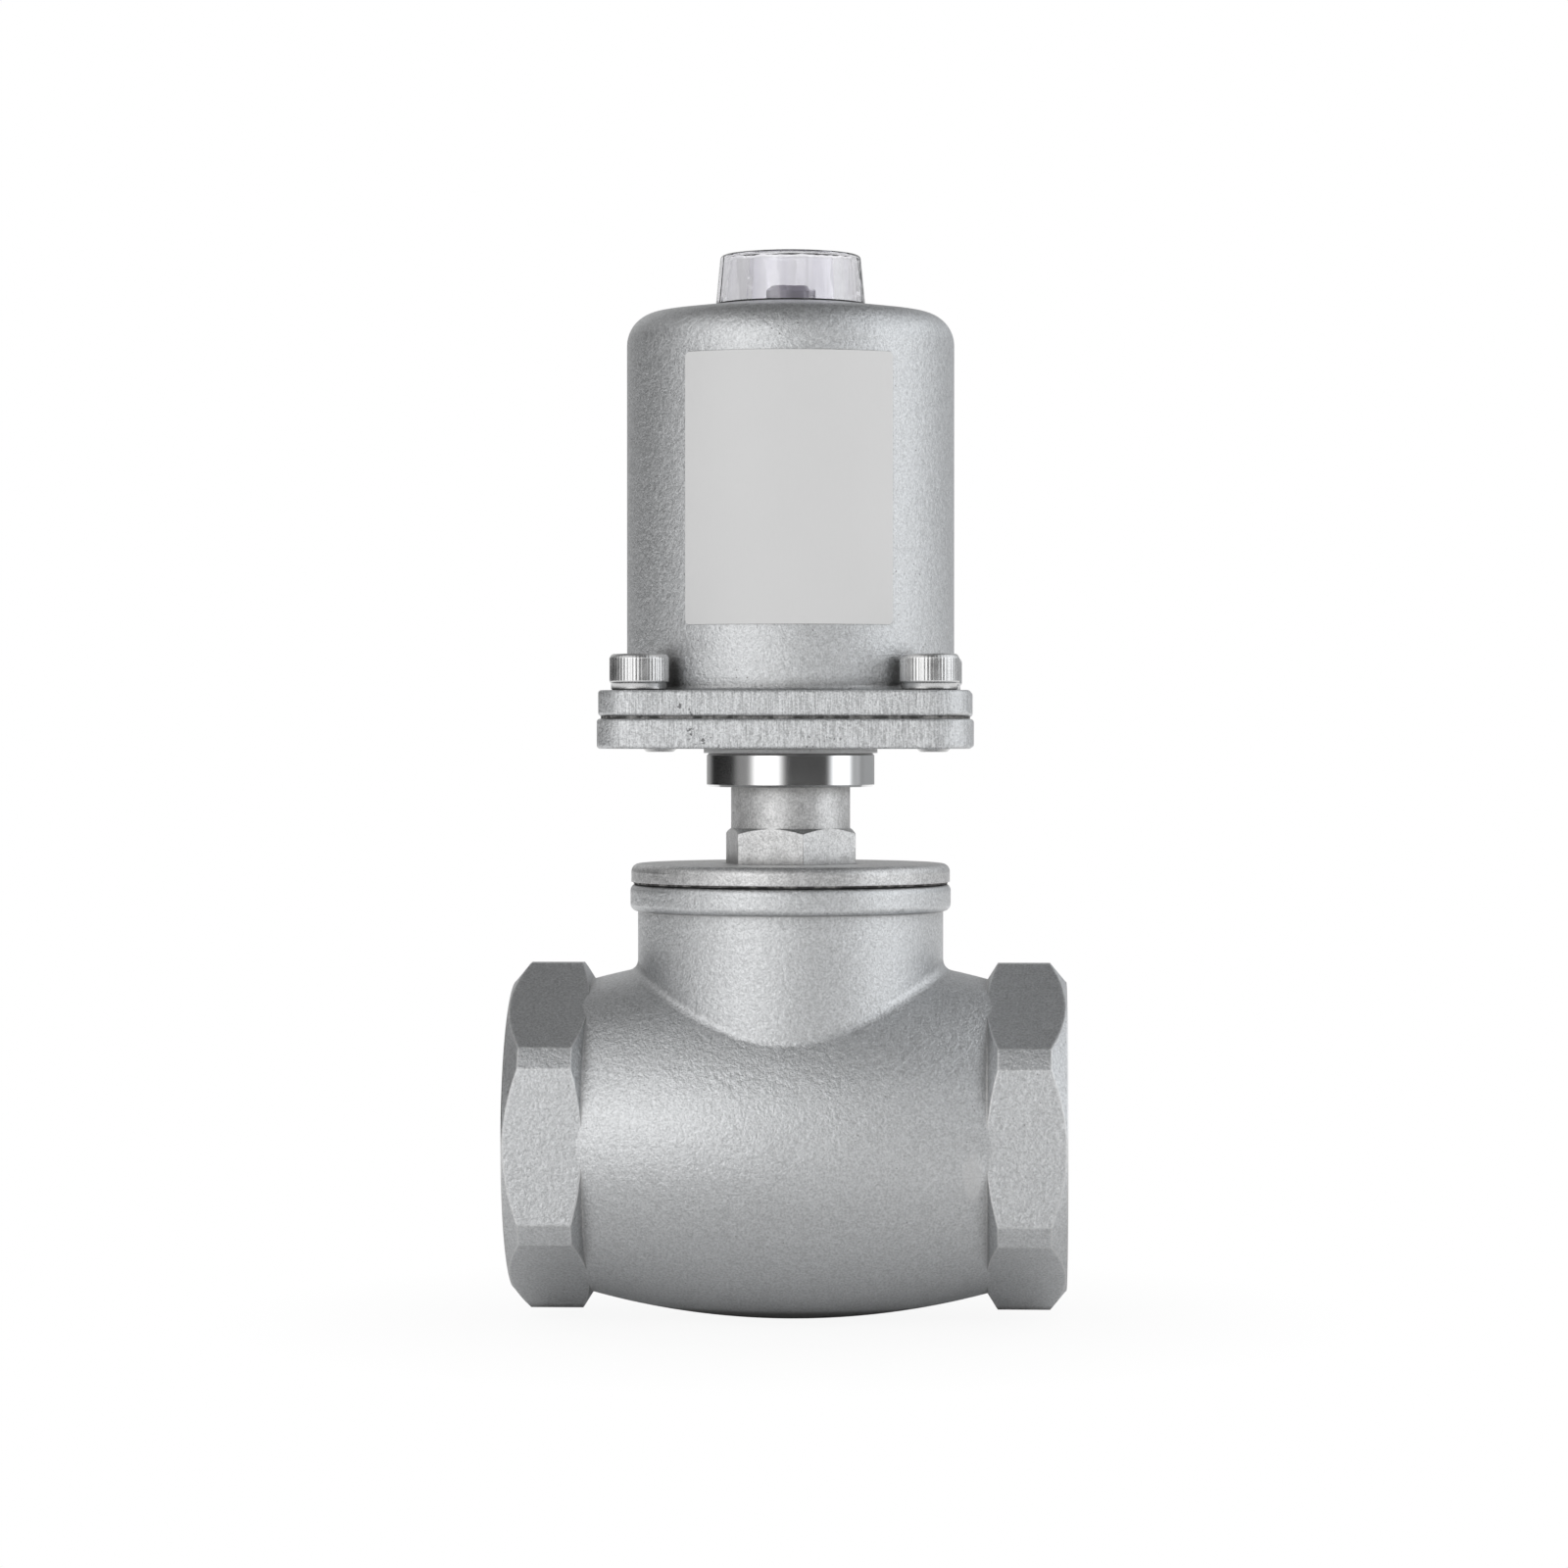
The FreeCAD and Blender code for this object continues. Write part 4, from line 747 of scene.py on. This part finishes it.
@dataclass
class FlangeScrews:
    """Four socket head cap screws with a knurled head, a plain neck, a hexagon socket and a threaded end."""

    finish: Finish
    spacing: float = 0.0639
    seat: float = 0.1007
    head_height: float = 0.008
    head_radius: float = 0.0066
    neck_radius: float = 0.00625
    neck_height: float = 0.0016
    shank_radius: float = 0.004
    rear_end: float = 0.0868
    front_end: float = 0.0884
    socket_flat: float = 0.003
    socket_depth: float = 0.004
    knurl_depth: float = 0.00007
    knurl_teeth: int = 52
    tooth_steps: int = 6
    thread_pitch: float = 0.00125
    name: str = "flange_screws_knurled"

    def rings(self, centre: tuple[float, float]) -> list[Ring]:
        """Rings of one screw, from the threaded end up and down into the socket.

        Args:
            centre: X and Y of the screw's axis.

        Returns:
            The rings in order.
        """
        count = self.knurl_teeth * self.tooth_steps
        top = self.seat + self.head_height
        neck_top = self.seat + self.neck_height

        def round_ring(radius: float, z: float, knurl: float = 0.0) -> Ring:
            """Ring of one radius, notched between the teeth of the knurl."""
            points = []
            for i in range(count):
                angle = 2 * math.pi * i / count
                notch = abs(2 * (i % self.tooth_steps) / self.tooth_steps - 1) ** 1.6
                reach = radius - knurl * notch
                points.append((centre[0] + reach * math.cos(angle), centre[1] + reach * math.sin(angle), z))
            return points

        def hexagon_ring(flat: float, z: float) -> Ring:
            """Ring on the outline of the socket."""
            points = []
            for i in range(count):
                angle = 2 * math.pi * i / count
                reach = flat / math.cos((angle + math.pi / 6) % (math.pi / 3) - math.pi / 6)
                points.append((centre[0] + reach * math.cos(angle), centre[1] + reach * math.sin(angle), z))
            return points

        shank = self.shank_radius
        end = self.rear_end if centre[1] > 0 else self.front_end
        z = end + 0.0002
        rings = [round_ring(0.0004, end), round_ring(shank - 0.0009, end), round_ring(shank - 0.0006, z)]
        while z < self.seat - 0.004:
            rings.append(round_ring(shank - 0.0005, z + 0.1 * self.thread_pitch))
            rings.append(round_ring(shank - 0.00002, z + 0.45 * self.thread_pitch))
            rings.append(round_ring(shank - 0.00002, z + 0.60 * self.thread_pitch))
            z += self.thread_pitch
        notch = self.knurl_depth
        rings += [
            round_ring(shank, self.seat - 0.002),
            round_ring(shank, self.seat),
            round_ring(self.neck_radius - 0.0003, self.seat),
            round_ring(self.neck_radius, self.seat + 0.0003),
            round_ring(self.neck_radius, neck_top - 0.0002),
            round_ring(self.neck_radius + 0.0001, neck_top),
            round_ring(self.head_radius - 0.00012, neck_top + 0.0001, notch),
            round_ring(self.head_radius, neck_top + 0.00035, notch),
            round_ring(self.head_radius, neck_top + 0.0005, notch),
            round_ring(self.head_radius, top - 0.0012, notch),
            round_ring(self.head_radius, top - 0.0010, notch),
            round_ring(self.head_radius - 0.00012, top - 0.0007, notch * 0.6),
            round_ring(self.head_radius - 0.0004, top - 0.00025),
            round_ring(self.head_radius - 0.0008, top - 0.00003),
            round_ring(self.head_radius - 0.0013, top),
            round_ring(self.socket_flat * 1.22, top),
            hexagon_ring(self.socket_flat * 1.02, top - 0.0005),
            hexagon_ring(self.socket_flat, top - 0.0006),
            hexagon_ring(self.socket_flat, top - self.socket_depth),
            round_ring(self.socket_flat * 0.8, top - self.socket_depth - 0.0003),
            round_ring(0.0003, top - self.socket_depth - 0.0011),
        ]
        return rings

    def build(self) -> bpy.types.Object:
        """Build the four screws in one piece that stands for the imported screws.

        Returns:
            The new piece.
        """
        half = self.spacing / 2
        points: list[Point] = []
        faces: list[list[int]] = []
        for x in (-half, half):
            for y in (-half, half):
                more_points, more_faces = joined_rings(self.rings((STEM_X + x, y)), looped=False)
                start = len(points)
                points += more_points
                faces += [[start + i for i in face] for face in more_faces]
        piece = add_piece(self.name, points, faces, self.finish, Body.ACTUATOR)
        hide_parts("flange_screws")
        return piece


@dataclass
class ReturnSpring:
    """Coil spring over the piston, wound at its rest length; the real spring shortens towards its upper end
    as the piston rises.
    """

    finish: Finish
    mean_radius: float = 0.021
    wire_radius: float = 0.0022
    turns: float = 5.5
    lift: float = 0.0125
    steps_per_turn: int = 48
    sides: int = 16

    def ring(self, turn: float, level: float) -> Ring:
        """Section of the wire.

        Args:
            turn: Angle round the stem axis in radians.
            level: Height of the wire's middle.

        Returns:
            Points round the wire.
        """
        points = []
        for side in range(self.sides):
            angle = -2 * math.pi * side / self.sides
            radius = self.mean_radius + self.wire_radius * math.cos(angle)
            height = level + self.wire_radius * math.sin(angle)
            points.append((STEM_X + radius * math.cos(turn), radius * math.sin(turn), height))
        return points

    def build(self) -> bpy.types.Object:
        """Wind the spring between the piston and the cylinder's ceiling.

        Returns:
            The new object.
        """
        low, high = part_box("return_spring")
        first, last = low[2] + self.wire_radius, high[2] - self.wire_radius
        steps = round(self.turns * self.steps_per_turn)
        rings = [
            self.ring(2 * math.pi * self.turns * k / steps, first + (last - first) * k / steps)
            for k in range(steps + 1)
        ]
        points, faces = joined_rings(rings, looped=False)
        spring = add_piece("return_coil", points, faces, self.finish, Body.ACTUATOR)
        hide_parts("return_spring")
        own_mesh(spring)
        return spring


@dataclass
class BlankLabel:
    """Blank foil label on the front of the cylinder, with rounded corners."""

    finish: Finish = field(default_factory=BlankFoil)
    radius: float = 0.03707
    thickness: float = 0.00013
    width: float = 0.0492
    low: float = 0.1152
    high: float = 0.1753
    corner: float = 0.0012
    turn: float = 0.0314
    columns: int = 60
    name: str = "blank_label"

    def build(self) -> bpy.types.Object:
        """Build the foil.

        Returns:
            The new piece.
        """
        rows = sorted((self.low + d, s) for s, d in zip(self.corner_insets(), self.corner_drops()))
        rows += sorted((self.high - d, s) for s, d in zip(self.corner_insets(), self.corner_drops()))
        points: list[Point] = []
        for radius in (self.radius + self.thickness, self.radius):
            for z, side in rows:
                reach = (self.width / 2 - side) / self.radius
                for k in range(self.columns + 1):
                    angle = -math.pi / 2 + self.turn + reach * (2 * k / self.columns - 1)
                    points.append((STEM_X + radius * math.cos(angle), radius * math.sin(angle), z))
        wide, tall = self.columns + 1, len(rows)
        back = wide * tall
        faces = []
        for r in range(tall - 1):
            for k in range(self.columns):
                a, b = r * wide + k, (r + 1) * wide + k
                faces.append([a, a + 1, b + 1, b])
                faces.append([back + a, back + b, back + b + 1, back + a + 1])
        rim = list(range(wide)) + [r * wide + wide - 1 for r in range(1, tall)]
        rim += [(tall - 1) * wide + k for k in range(wide - 2, -1, -1)]
        rim += [r * wide for r in range(tall - 2, 0, -1)]
        for here, after in zip(rim, rim[1:] + rim[:1]):
            faces.append([after, here, back + here, back + after])
        return add_piece(self.name, points, faces, self.finish, Body.ACTUATOR)

    def corner_insets(self) -> list[float]:
        """How far each corner row's end stands in from the side."""
        return [self.corner * (1 - math.sin(math.radians(a))) for a in range(0, 91, 15)]

    def corner_drops(self) -> list[float]:
        """How far each corner row stands in from the end."""
        return [self.corner * (1 - math.cos(math.radians(a))) for a in range(0, 91, 15)]


CAST_BODY = BlastedBody("blasted_body", Slot.CAST_STEEL, light=0.74, dark=0.52)
CAST_CYLINDER = BlastedPlate(
    "blasted_actuator",
    Slot.CAST_FLANGE,
    light=0.74,
    dark=0.50,
    roughness=0.40,
    grain_size=0.00045,
    mottle_share=0.30,
    pit_reach=0.15,
)
BONNET_STEEL = TurnedSteel(
    "blasted_bonnet", Slot.MACHINED_STEEL, light=0.73, dark=0.46, roughness=0.40, grain_depth=0.00006
)
TURNED = TurnedSteel("turned_steel", Slot.MACHINED_STEEL)
POLISHED = TurnedSteel(
    "polished_steel", Slot.POLISHED_STEEL, light=0.58, dark=0.52, roughness=0.13, cut_depth=0.000002
)
SCREW = TurnedSteel(
    "bright_screw",
    Slot.SCREW_STEEL,
    light=0.74,
    dark=0.58,
    roughness=0.26,
    cut_depth=0.000003,
    edge_radius=0.0001,
    crease_reach=0.001,
)
THREAD = TurnedSteel("thread_steel", Slot.MACHINED_STEEL, light=0.70, dark=0.55, roughness=0.24)
SPRING = TurnedSteel("spring_wire", Slot.SPRING_STEEL, light=0.60, dark=0.45, roughness=0.3)
ALUMINIUM = TurnedSteel("turned_aluminium", Slot.PISTON_ALUMINIUM, light=0.80, dark=0.70, roughness=0.32)
PTFE = PlainPlastic("white_ptfe", Slot.SEAL_PTFE, (0.80, 0.80, 0.77), 0.45, 0.04)
FILLED = PlainPlastic("filled_ptfe", Slot.PACKING_FILLED, (0.045, 0.042, 0.04), 0.5, 0.3)
RUBBER = PlainPlastic("black_rubber", Slot.SEAL_RUBBER, (0.018, 0.018, 0.018), 0.5, 0.2)
GASKET = FibreGasket("grey_gasket", Slot.GASKET_SHEET)
BUSH = PlainPlastic("dark_acetal", Slot.BUSH_PLASTIC, (0.22, 0.20, 0.25), 0.22)
RED = PlainPlastic("red_indicator", Slot.INDICATOR_PLASTIC, (0.50, 0.02, 0.015), 0.35)


@dataclass
class Valve:
    """The cast body, the bonnet with its packing, and the coupling ring."""

    half_length: float = 0.0625
    finishes: dict[str, Finish] = field(default_factory=lambda: {
        "valve_body": CAST_BODY,
        "bonnet_gasket": GASKET,
        "bonnet": BONNET_STEEL,
        "guide_bush": FILLED,
        "packing_spring": SPRING,
        "packing_lower_support": TURNED,
        "packing_ring_1": PTFE,
        "packing_ring_2": FILLED,
        "packing_ring_3": PTFE,
        "packing_ring_4": FILLED,
        "packing_upper_support": TURNED,
        "coupling_ring": POLISHED,
        "thrust_washer": PTFE,
        "spigot_nut": TURNED,
        "spigot_seal": RUBBER,
        "rod_seal": RUBBER,
    })

    def build(self) -> None:
        """Build the ridges of both pipe threads."""
        for name, side in (("inlet_thread_ridges", -1), ("outlet_thread_ridges", 1)):
            mouth = Vector((STEM_X + side * self.half_length, 0, 0))
            inward = Vector((-side, 0, 0))
            InnerThread(name, Body.VALVE, THREAD, Slot.MACHINED_STEEL, mouth, inward).build()

    def dress(self) -> None:
        """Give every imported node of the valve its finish."""
        for node, finish in self.finishes.items():
            dress_node(node, finish)


@dataclass
class Actuator:
    """The base plate, cylinder, screws, label, cap and return spring."""

    port_levels: dict[str, float] = field(default_factory=lambda: {"pilot": 0.1147, "vent": 0.1698})
    port_reach: float = 0.04405
    finishes: dict[str, Finish] = field(default_factory=lambda: {
        "actuator_base": CAST_CYLINDER,
        "flange_gasket": GASKET,
        "actuator_cylinder": CAST_CYLINDER,
        "indicator_bush": BUSH,
        "indicator_cap": ClearPlastic(),
        "cap_gasket": RUBBER,
    })

    def build(self) -> None:
        """Build the screws, the return spring, the label and the ridges of both air threads."""
        FlangeScrews(SCREW).build()
        ReturnSpring(SPRING).build()
        BlankLabel().build()
        for port, level in self.port_levels.items():
            InnerThread(
                f"{port}_air_thread_ridges",
                Body.ACTUATOR,
                THREAD,
                Slot.MACHINED_STEEL,
                Vector((STEM_X, self.port_reach, level)),
                Vector((0, -1, 0)),
                wall_radius=0.00486,
                ridge_height=0.00058,
                pitch=0.000907,
                length=0.0072,
                skin=0.00003,
                turns_steps=64,
            ).build()

    def dress(self) -> None:
        """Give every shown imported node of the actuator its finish."""
        for node, finish in self.finishes.items():
            dress_node(node, finish)


@dataclass
class StemGroup:
    """The stem, disc, piston and indicator rod, which rise together."""

    finishes: dict[str, Finish] = field(default_factory=lambda: {
        "stem": TURNED,
        "disc": TURNED,
        "disc_seal": PTFE,
        "seal_retainer": TURNED,
        "disc_nut": TURNED,
        "piston": ALUMINIUM,
        "piston_seal": RUBBER,
        "piston_guide_band": FILLED,
        "piston_washer": TURNED,
        "piston_nut": TURNED,
        "indicator_rod": RED,
    })

    def dress(self) -> None:
        """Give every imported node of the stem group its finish."""
        for node, finish in self.finishes.items():
            dress_node(node, finish)


@dataclass
class Softbox:
    """Large soft lamp that faces the valve. Mirrors see its glow in the tent instead."""

    name: str
    azimuth: float
    elevation: float
    width: float
    height: float
    radiance: float
    distance: float = 1.6

    def build(self, centre: Vector) -> None:
        """Hang the lamp.

        Args:
            centre: Point that the lamp faces.
        """
        lamp = bpy.data.lights.new(self.name, "AREA")
        lamp.shape = "RECTANGLE"
        lamp.size, lamp.size_y = self.width, self.height
        lamp.energy = self.radiance * self.width * self.height * math.pi
        azimuth, elevation = math.radians(self.azimuth), math.radians(self.elevation)
        level = math.cos(elevation)
        away = Vector((math.sin(azimuth) * level, -math.cos(azimuth) * level, math.sin(elevation)))
        holder = bpy.data.objects.new(self.name, lamp)
        holder.location = centre + away * self.distance
        holder.rotation_euler = (-away).to_track_quat("-Z", "Y").to_euler()
        holder.visible_camera = False
        holder.visible_glossy = False
        bpy.context.scene.collection.objects.link(holder)
        LOG.info("%s at azimuth %.0f", self.name, self.azimuth)


@dataclass(frozen=True)
class Panel:
    """Glowing panel behind the tent's cloth: even in the middle, with a soft edge. Angles are in degrees."""

    azimuth: float
    elevation: float
    half_width: float
    half_height: float
    level: float
    warmth: float = 0.0

    def glow(
        self, graph: ShadeGraph, azimuth: bpy.types.NodeSocket, elevation: bpy.types.NodeSocket
    ) -> bpy.types.NodeSocket:
        """Share of the panel's level that each direction has, by the fourth power of its place on the panel.

        Args:
            graph: Tree to add to.
            azimuth: Azimuth of the direction in radians.
            elevation: Elevation of the direction in radians.

        Returns:
            1 in the middle, about a third at the edge, and 0 away from the panel.
        """
        across = graph.math("PINGPONG", graph.math("SUBTRACT", azimuth, math.radians(self.azimuth)), math.pi)
        up = graph.math("SUBTRACT", elevation, math.radians(self.elevation))
        fourths = []
        for offset, reach in ((across, self.half_width), (up, self.half_height)):
            place = graph.math("DIVIDE", offset, math.radians(reach))
            square = graph.math("MULTIPLY", place, place)
            fourths.append(graph.math("MULTIPLY", square, square))
        fall = graph.math("MULTIPLY", graph.math("ADD", *fourths), -1.0)
        return graph.math("EXPONENT", fall)


COOL = -0.02


@dataclass
class LightTent:
    """Grey tent round the set that only mirrored and refracted rays see, with a dark gap round the camera.

    Two keys stand low at the left and right of the camera, each with a weak spill beside it, and wide washes
    hang over them. Refracted rays see the tent paler, as they see the white background through its cloth.
    """

    radius: float = 2.6
    turn: float = 2.6
    clear_share: float = 0.55
    left_key: Panel = Panel(-33, 3, 21, 20, 1.85)
    left_spill: Panel = Panel(-66, 11, 17, 17, 0.28)
    right_key: Panel = Panel(73, 4, 17, 17, 1.80, COOL)
    right_spill: Panel = Panel(97, 8, 14, 16, 0.42, COOL)
    left_wash: Panel = Panel(-54, 38, 47, 25, 0.95)
    right_wash: Panel = Panel(84, 38, 44, 25, 1.10, COOL)
    front_cloth: Panel = Panel(10, 22, 36, 12, 0.80)
    rear_cloth: Panel = Panel(-170, 18, 30, 26, 0.45)
    rear_left_cloth: Panel = Panel(-142, 30, 40, 22, 0.30)
    rear_right_cloth: Panel = Panel(136, 22, 30, 28, 0.55, COOL)
    roof: Panel = Panel(-90, 84, 360, 26, 0.22)

    def panels(self) -> tuple[Panel, ...]:
        """All panels of the tent."""
        return (
            self.left_key, self.left_spill, self.right_key, self.right_spill, self.left_wash, self.right_wash,
            self.front_cloth, self.rear_cloth, self.rear_left_cloth, self.rear_right_cloth, self.roof,
        )

    def material(self) -> bpy.types.Material:
        """Material whose glow follows the direction from the valve."""
        graph = ShadeGraph("light_tent")
        parts = graph.add("ShaderNodeSeparateXYZ", {0: graph.place})
        backwards = graph.math("MULTIPLY", parts.outputs[1], -1.0)
        azimuth = graph.math("ARCTAN2", parts.outputs[0], backwards)
        elevation = graph.math("ARCSINE", graph.math("DIVIDE", parts.outputs[2], self.radius))
        colour: Any = (0.0, 0.0, 0.0)
        for panel in self.panels():
            share = panel.glow(graph, azimuth, elevation)
            values = {0: share, 1: grey(panel.level, panel.warmth)[:3], 2: colour}
            colour = graph.add("ShaderNodeVectorMath", values, operation="MULTIPLY_ADD").outputs[0]
        refracted = graph.add("ShaderNodeLightPath").outputs["Is Transmission Ray"]
        paler = graph.math("MULTIPLY", refracted, self.clear_share)
        seen = graph.blend(paler, colour, grey(1.0))
        glow = graph.add("ShaderNodeEmission", {"Color": seen, "Strength": 1.0})
        graph.add("ShaderNodeOutputMaterial", {"Surface": glow.outputs[0]})
        return graph.material

    def build(self, centre: Vector) -> None:
        """Raise the tent round the valve.

        Args:
            centre: Middle of the tent.
        """
        rings = []
        for elevation in range(-6, 90, 4):
            e = math.radians(elevation)
            rings.append([
                (self.radius * math.cos(e) * math.cos(math.radians(a)),
                 self.radius * math.cos(e) * math.sin(math.radians(a)),
                 self.radius * math.sin(e))
                for a in range(0, 360, 4)
            ])
        points, faces = joined_rings(rings, looped=False)
        mesh = bpy.data.meshes.new("light_tent")
        mesh.from_pydata(points, [], faces[:-2] + faces[-1:])
        mesh.materials.append(self.material())
        tent = bpy.data.objects.new("light_tent", mesh)
        tent.location = centre
        tent.rotation_euler = (0, 0, math.radians(self.turn))
        for way in ("camera", "diffuse", "shadow", "volume_scatter"):
            setattr(tent, f"visible_{way}", False)
        bpy.context.scene.collection.objects.link(tent)
        tent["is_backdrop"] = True
        LOG.info("light tent of radius %.1f m", self.radius)


@dataclass
class Floor:
    """Plain pale floor that turns into the white background away from the valve."""

    level: float
    radius: float = 3.0
    pale: float = 0.80
    mirror_clear: tuple[float, float] = (0.10, 0.32)
    camera_clear: tuple[float, float] = (0.05, 0.13)
    camera_least: float = 0.92

    def material(self) -> bpy.types.Material:
        """Material that keeps the valve's shadow near it."""
        graph = ShadeGraph("pale_floor")
        mottle = graph.noise(0.02, 3.0, 0.6)
        colour = graph.blend(mottle, grey(self.pale * 0.99), grey(self.pale * 1.01))
        cloth = graph.add("ShaderNodeBsdfDiffuse", {"Color": colour})
        white = graph.add("ShaderNodeEmission", {"Color": grey(1.0), "Strength": 1.0})
        reach = graph.add("ShaderNodeVectorMath", {0: graph.place}, operation="LENGTH").outputs["Value"]
        path = graph.add("ShaderNodeLightPath")
        mirrored = graph.math("MAXIMUM", path.outputs["Is Glossy Ray"], path.outputs["Is Transmission Ray"])
        seen = path.outputs["Is Camera Ray"]
        share = graph.math(
            "ADD",
            graph.math("MULTIPLY", graph.levels(reach, self.mirror_clear, (0.0, 1.0)), mirrored),
            graph.math("MULTIPLY", graph.levels(reach, self.camera_clear, (self.camera_least, 1.0)), seen),
        )
        mix = graph.add("ShaderNodeMixShader", {0: share, 1: cloth.outputs[0], 2: white.outputs[0]})
        graph.add("ShaderNodeOutputMaterial", {"Surface": mix.outputs[0]})
        return graph.material

    def build(self) -> None:
        """Lay the floor under the valve."""
        ring = [
            (self.radius * math.cos(2 * math.pi * k / 96), self.radius * math.sin(2 * math.pi * k / 96), 0.0)
            for k in range(96)
        ]
        mesh = bpy.data.meshes.new("floor")
        mesh.from_pydata(ring, [], [list(range(96))])
        mesh.materials.append(self.material())
        floor = bpy.data.objects.new("floor", mesh)
        floor.location = (STEM_X, 0, self.level)
        bpy.context.scene.collection.objects.link(floor)
        floor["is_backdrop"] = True
        LOG.info("floor at %.4f m", self.level)


@dataclass
class Studio:
    """Lamps, tent, floor, white background and ambient light."""

    centre: Vector
    floor_level: float
    ambient: float = 0.70
    softboxes: tuple[Softbox, ...] = (
        Softbox("softbox_left", -29.6, 17.0, 0.72, 1.06, 1.90),
        Softbox("softbox_right", 76.6, 12.0, 1.20, 0.95, 1.32),
    )

    def build(self) -> None:
        """Set up the studio."""
        for softbox in self.softboxes:
            softbox.build(self.centre)
        LightTent().build(self.centre)
        Floor(self.floor_level).build()
        self.light_world()

    def light_world(self) -> None:
        """White background for the eye and for reflections, and even grey light on the valve."""
        world = bpy.data.worlds.new("studio_air")
        bpy.context.scene.world = world
        world.use_nodes = True
        nodes, links = world.node_tree.nodes, world.node_tree.links
        nodes.clear()
        path = nodes.new("ShaderNodeLightPath")
        seen = None
        for way in ("Is Camera Ray", "Is Glossy Ray", "Is Transmission Ray"):
            if seen is None:
                seen = path.outputs[way]
                continue
            larger = nodes.new("ShaderNodeMath")
            larger.operation = "MAXIMUM"
            links.new(seen, larger.inputs[0])
            links.new(path.outputs[way], larger.inputs[1])
            seen = larger.outputs[0]
        air = nodes.new("ShaderNodeBackground")
        air.inputs["Color"].default_value = grey(self.ambient)
        white = nodes.new("ShaderNodeBackground")
        white.inputs["Color"].default_value = grey(1.0)
        mix = nodes.new("ShaderNodeMixShader")
        links.new(seen, mix.inputs[0])
        links.new(air.outputs[0], mix.inputs[1])
        links.new(white.outputs[0], mix.inputs[2])
        output = nodes.new("ShaderNodeOutputWorld")
        links.new(mix.outputs[0], output.inputs["Surface"])


@dataclass
class PhotoCamera:
    """Camera where the photographer stood: low, far and a little to the right."""

    distance: float = 1.089
    azimuth: float = 2.6
    pitch: float = -0.643
    height: float = 0.0919
    sideways: float = -0.0015
    lens: float = 110.25

    def build(self) -> None:
        """Set up the scene's camera."""
        turn, pitch = math.radians(self.azimuth), math.radians(self.pitch)
        data = bpy.data.cameras.new("photo_camera")
        data.sensor_width = 36.0
        data.lens = self.lens
        camera = bpy.data.objects.new("photo_camera", data)
        back = Vector((math.sin(turn), -math.cos(turn), 0))
        right = Vector((math.cos(turn), math.sin(turn), 0))
        camera.location = Vector((STEM_X, 0, self.height)) + back * self.distance + right * self.sideways
        camera.rotation_euler = (math.pi / 2 + pitch, 0, turn)
        bpy.context.scene.collection.objects.link(camera)
        bpy.context.scene.camera = camera
        LOG.info("camera %.3f m away", self.distance)


def main() -> None:
    """Build, dress and stage the valve."""
    logging.basicConfig(level=logging.INFO, format="%(message)s")
    cad_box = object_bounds()
    bpy.context.scene.view_settings.view_transform = "Standard"
    for assembly in (Valve(), Actuator()):
        assembly.build()
        assembly.dress()
    StemGroup().dress()
    low, high = cad_box
    Studio((low + high) / 2, low.z).build()
    PhotoCamera().build()


if __name__ == "__main__":
    main()
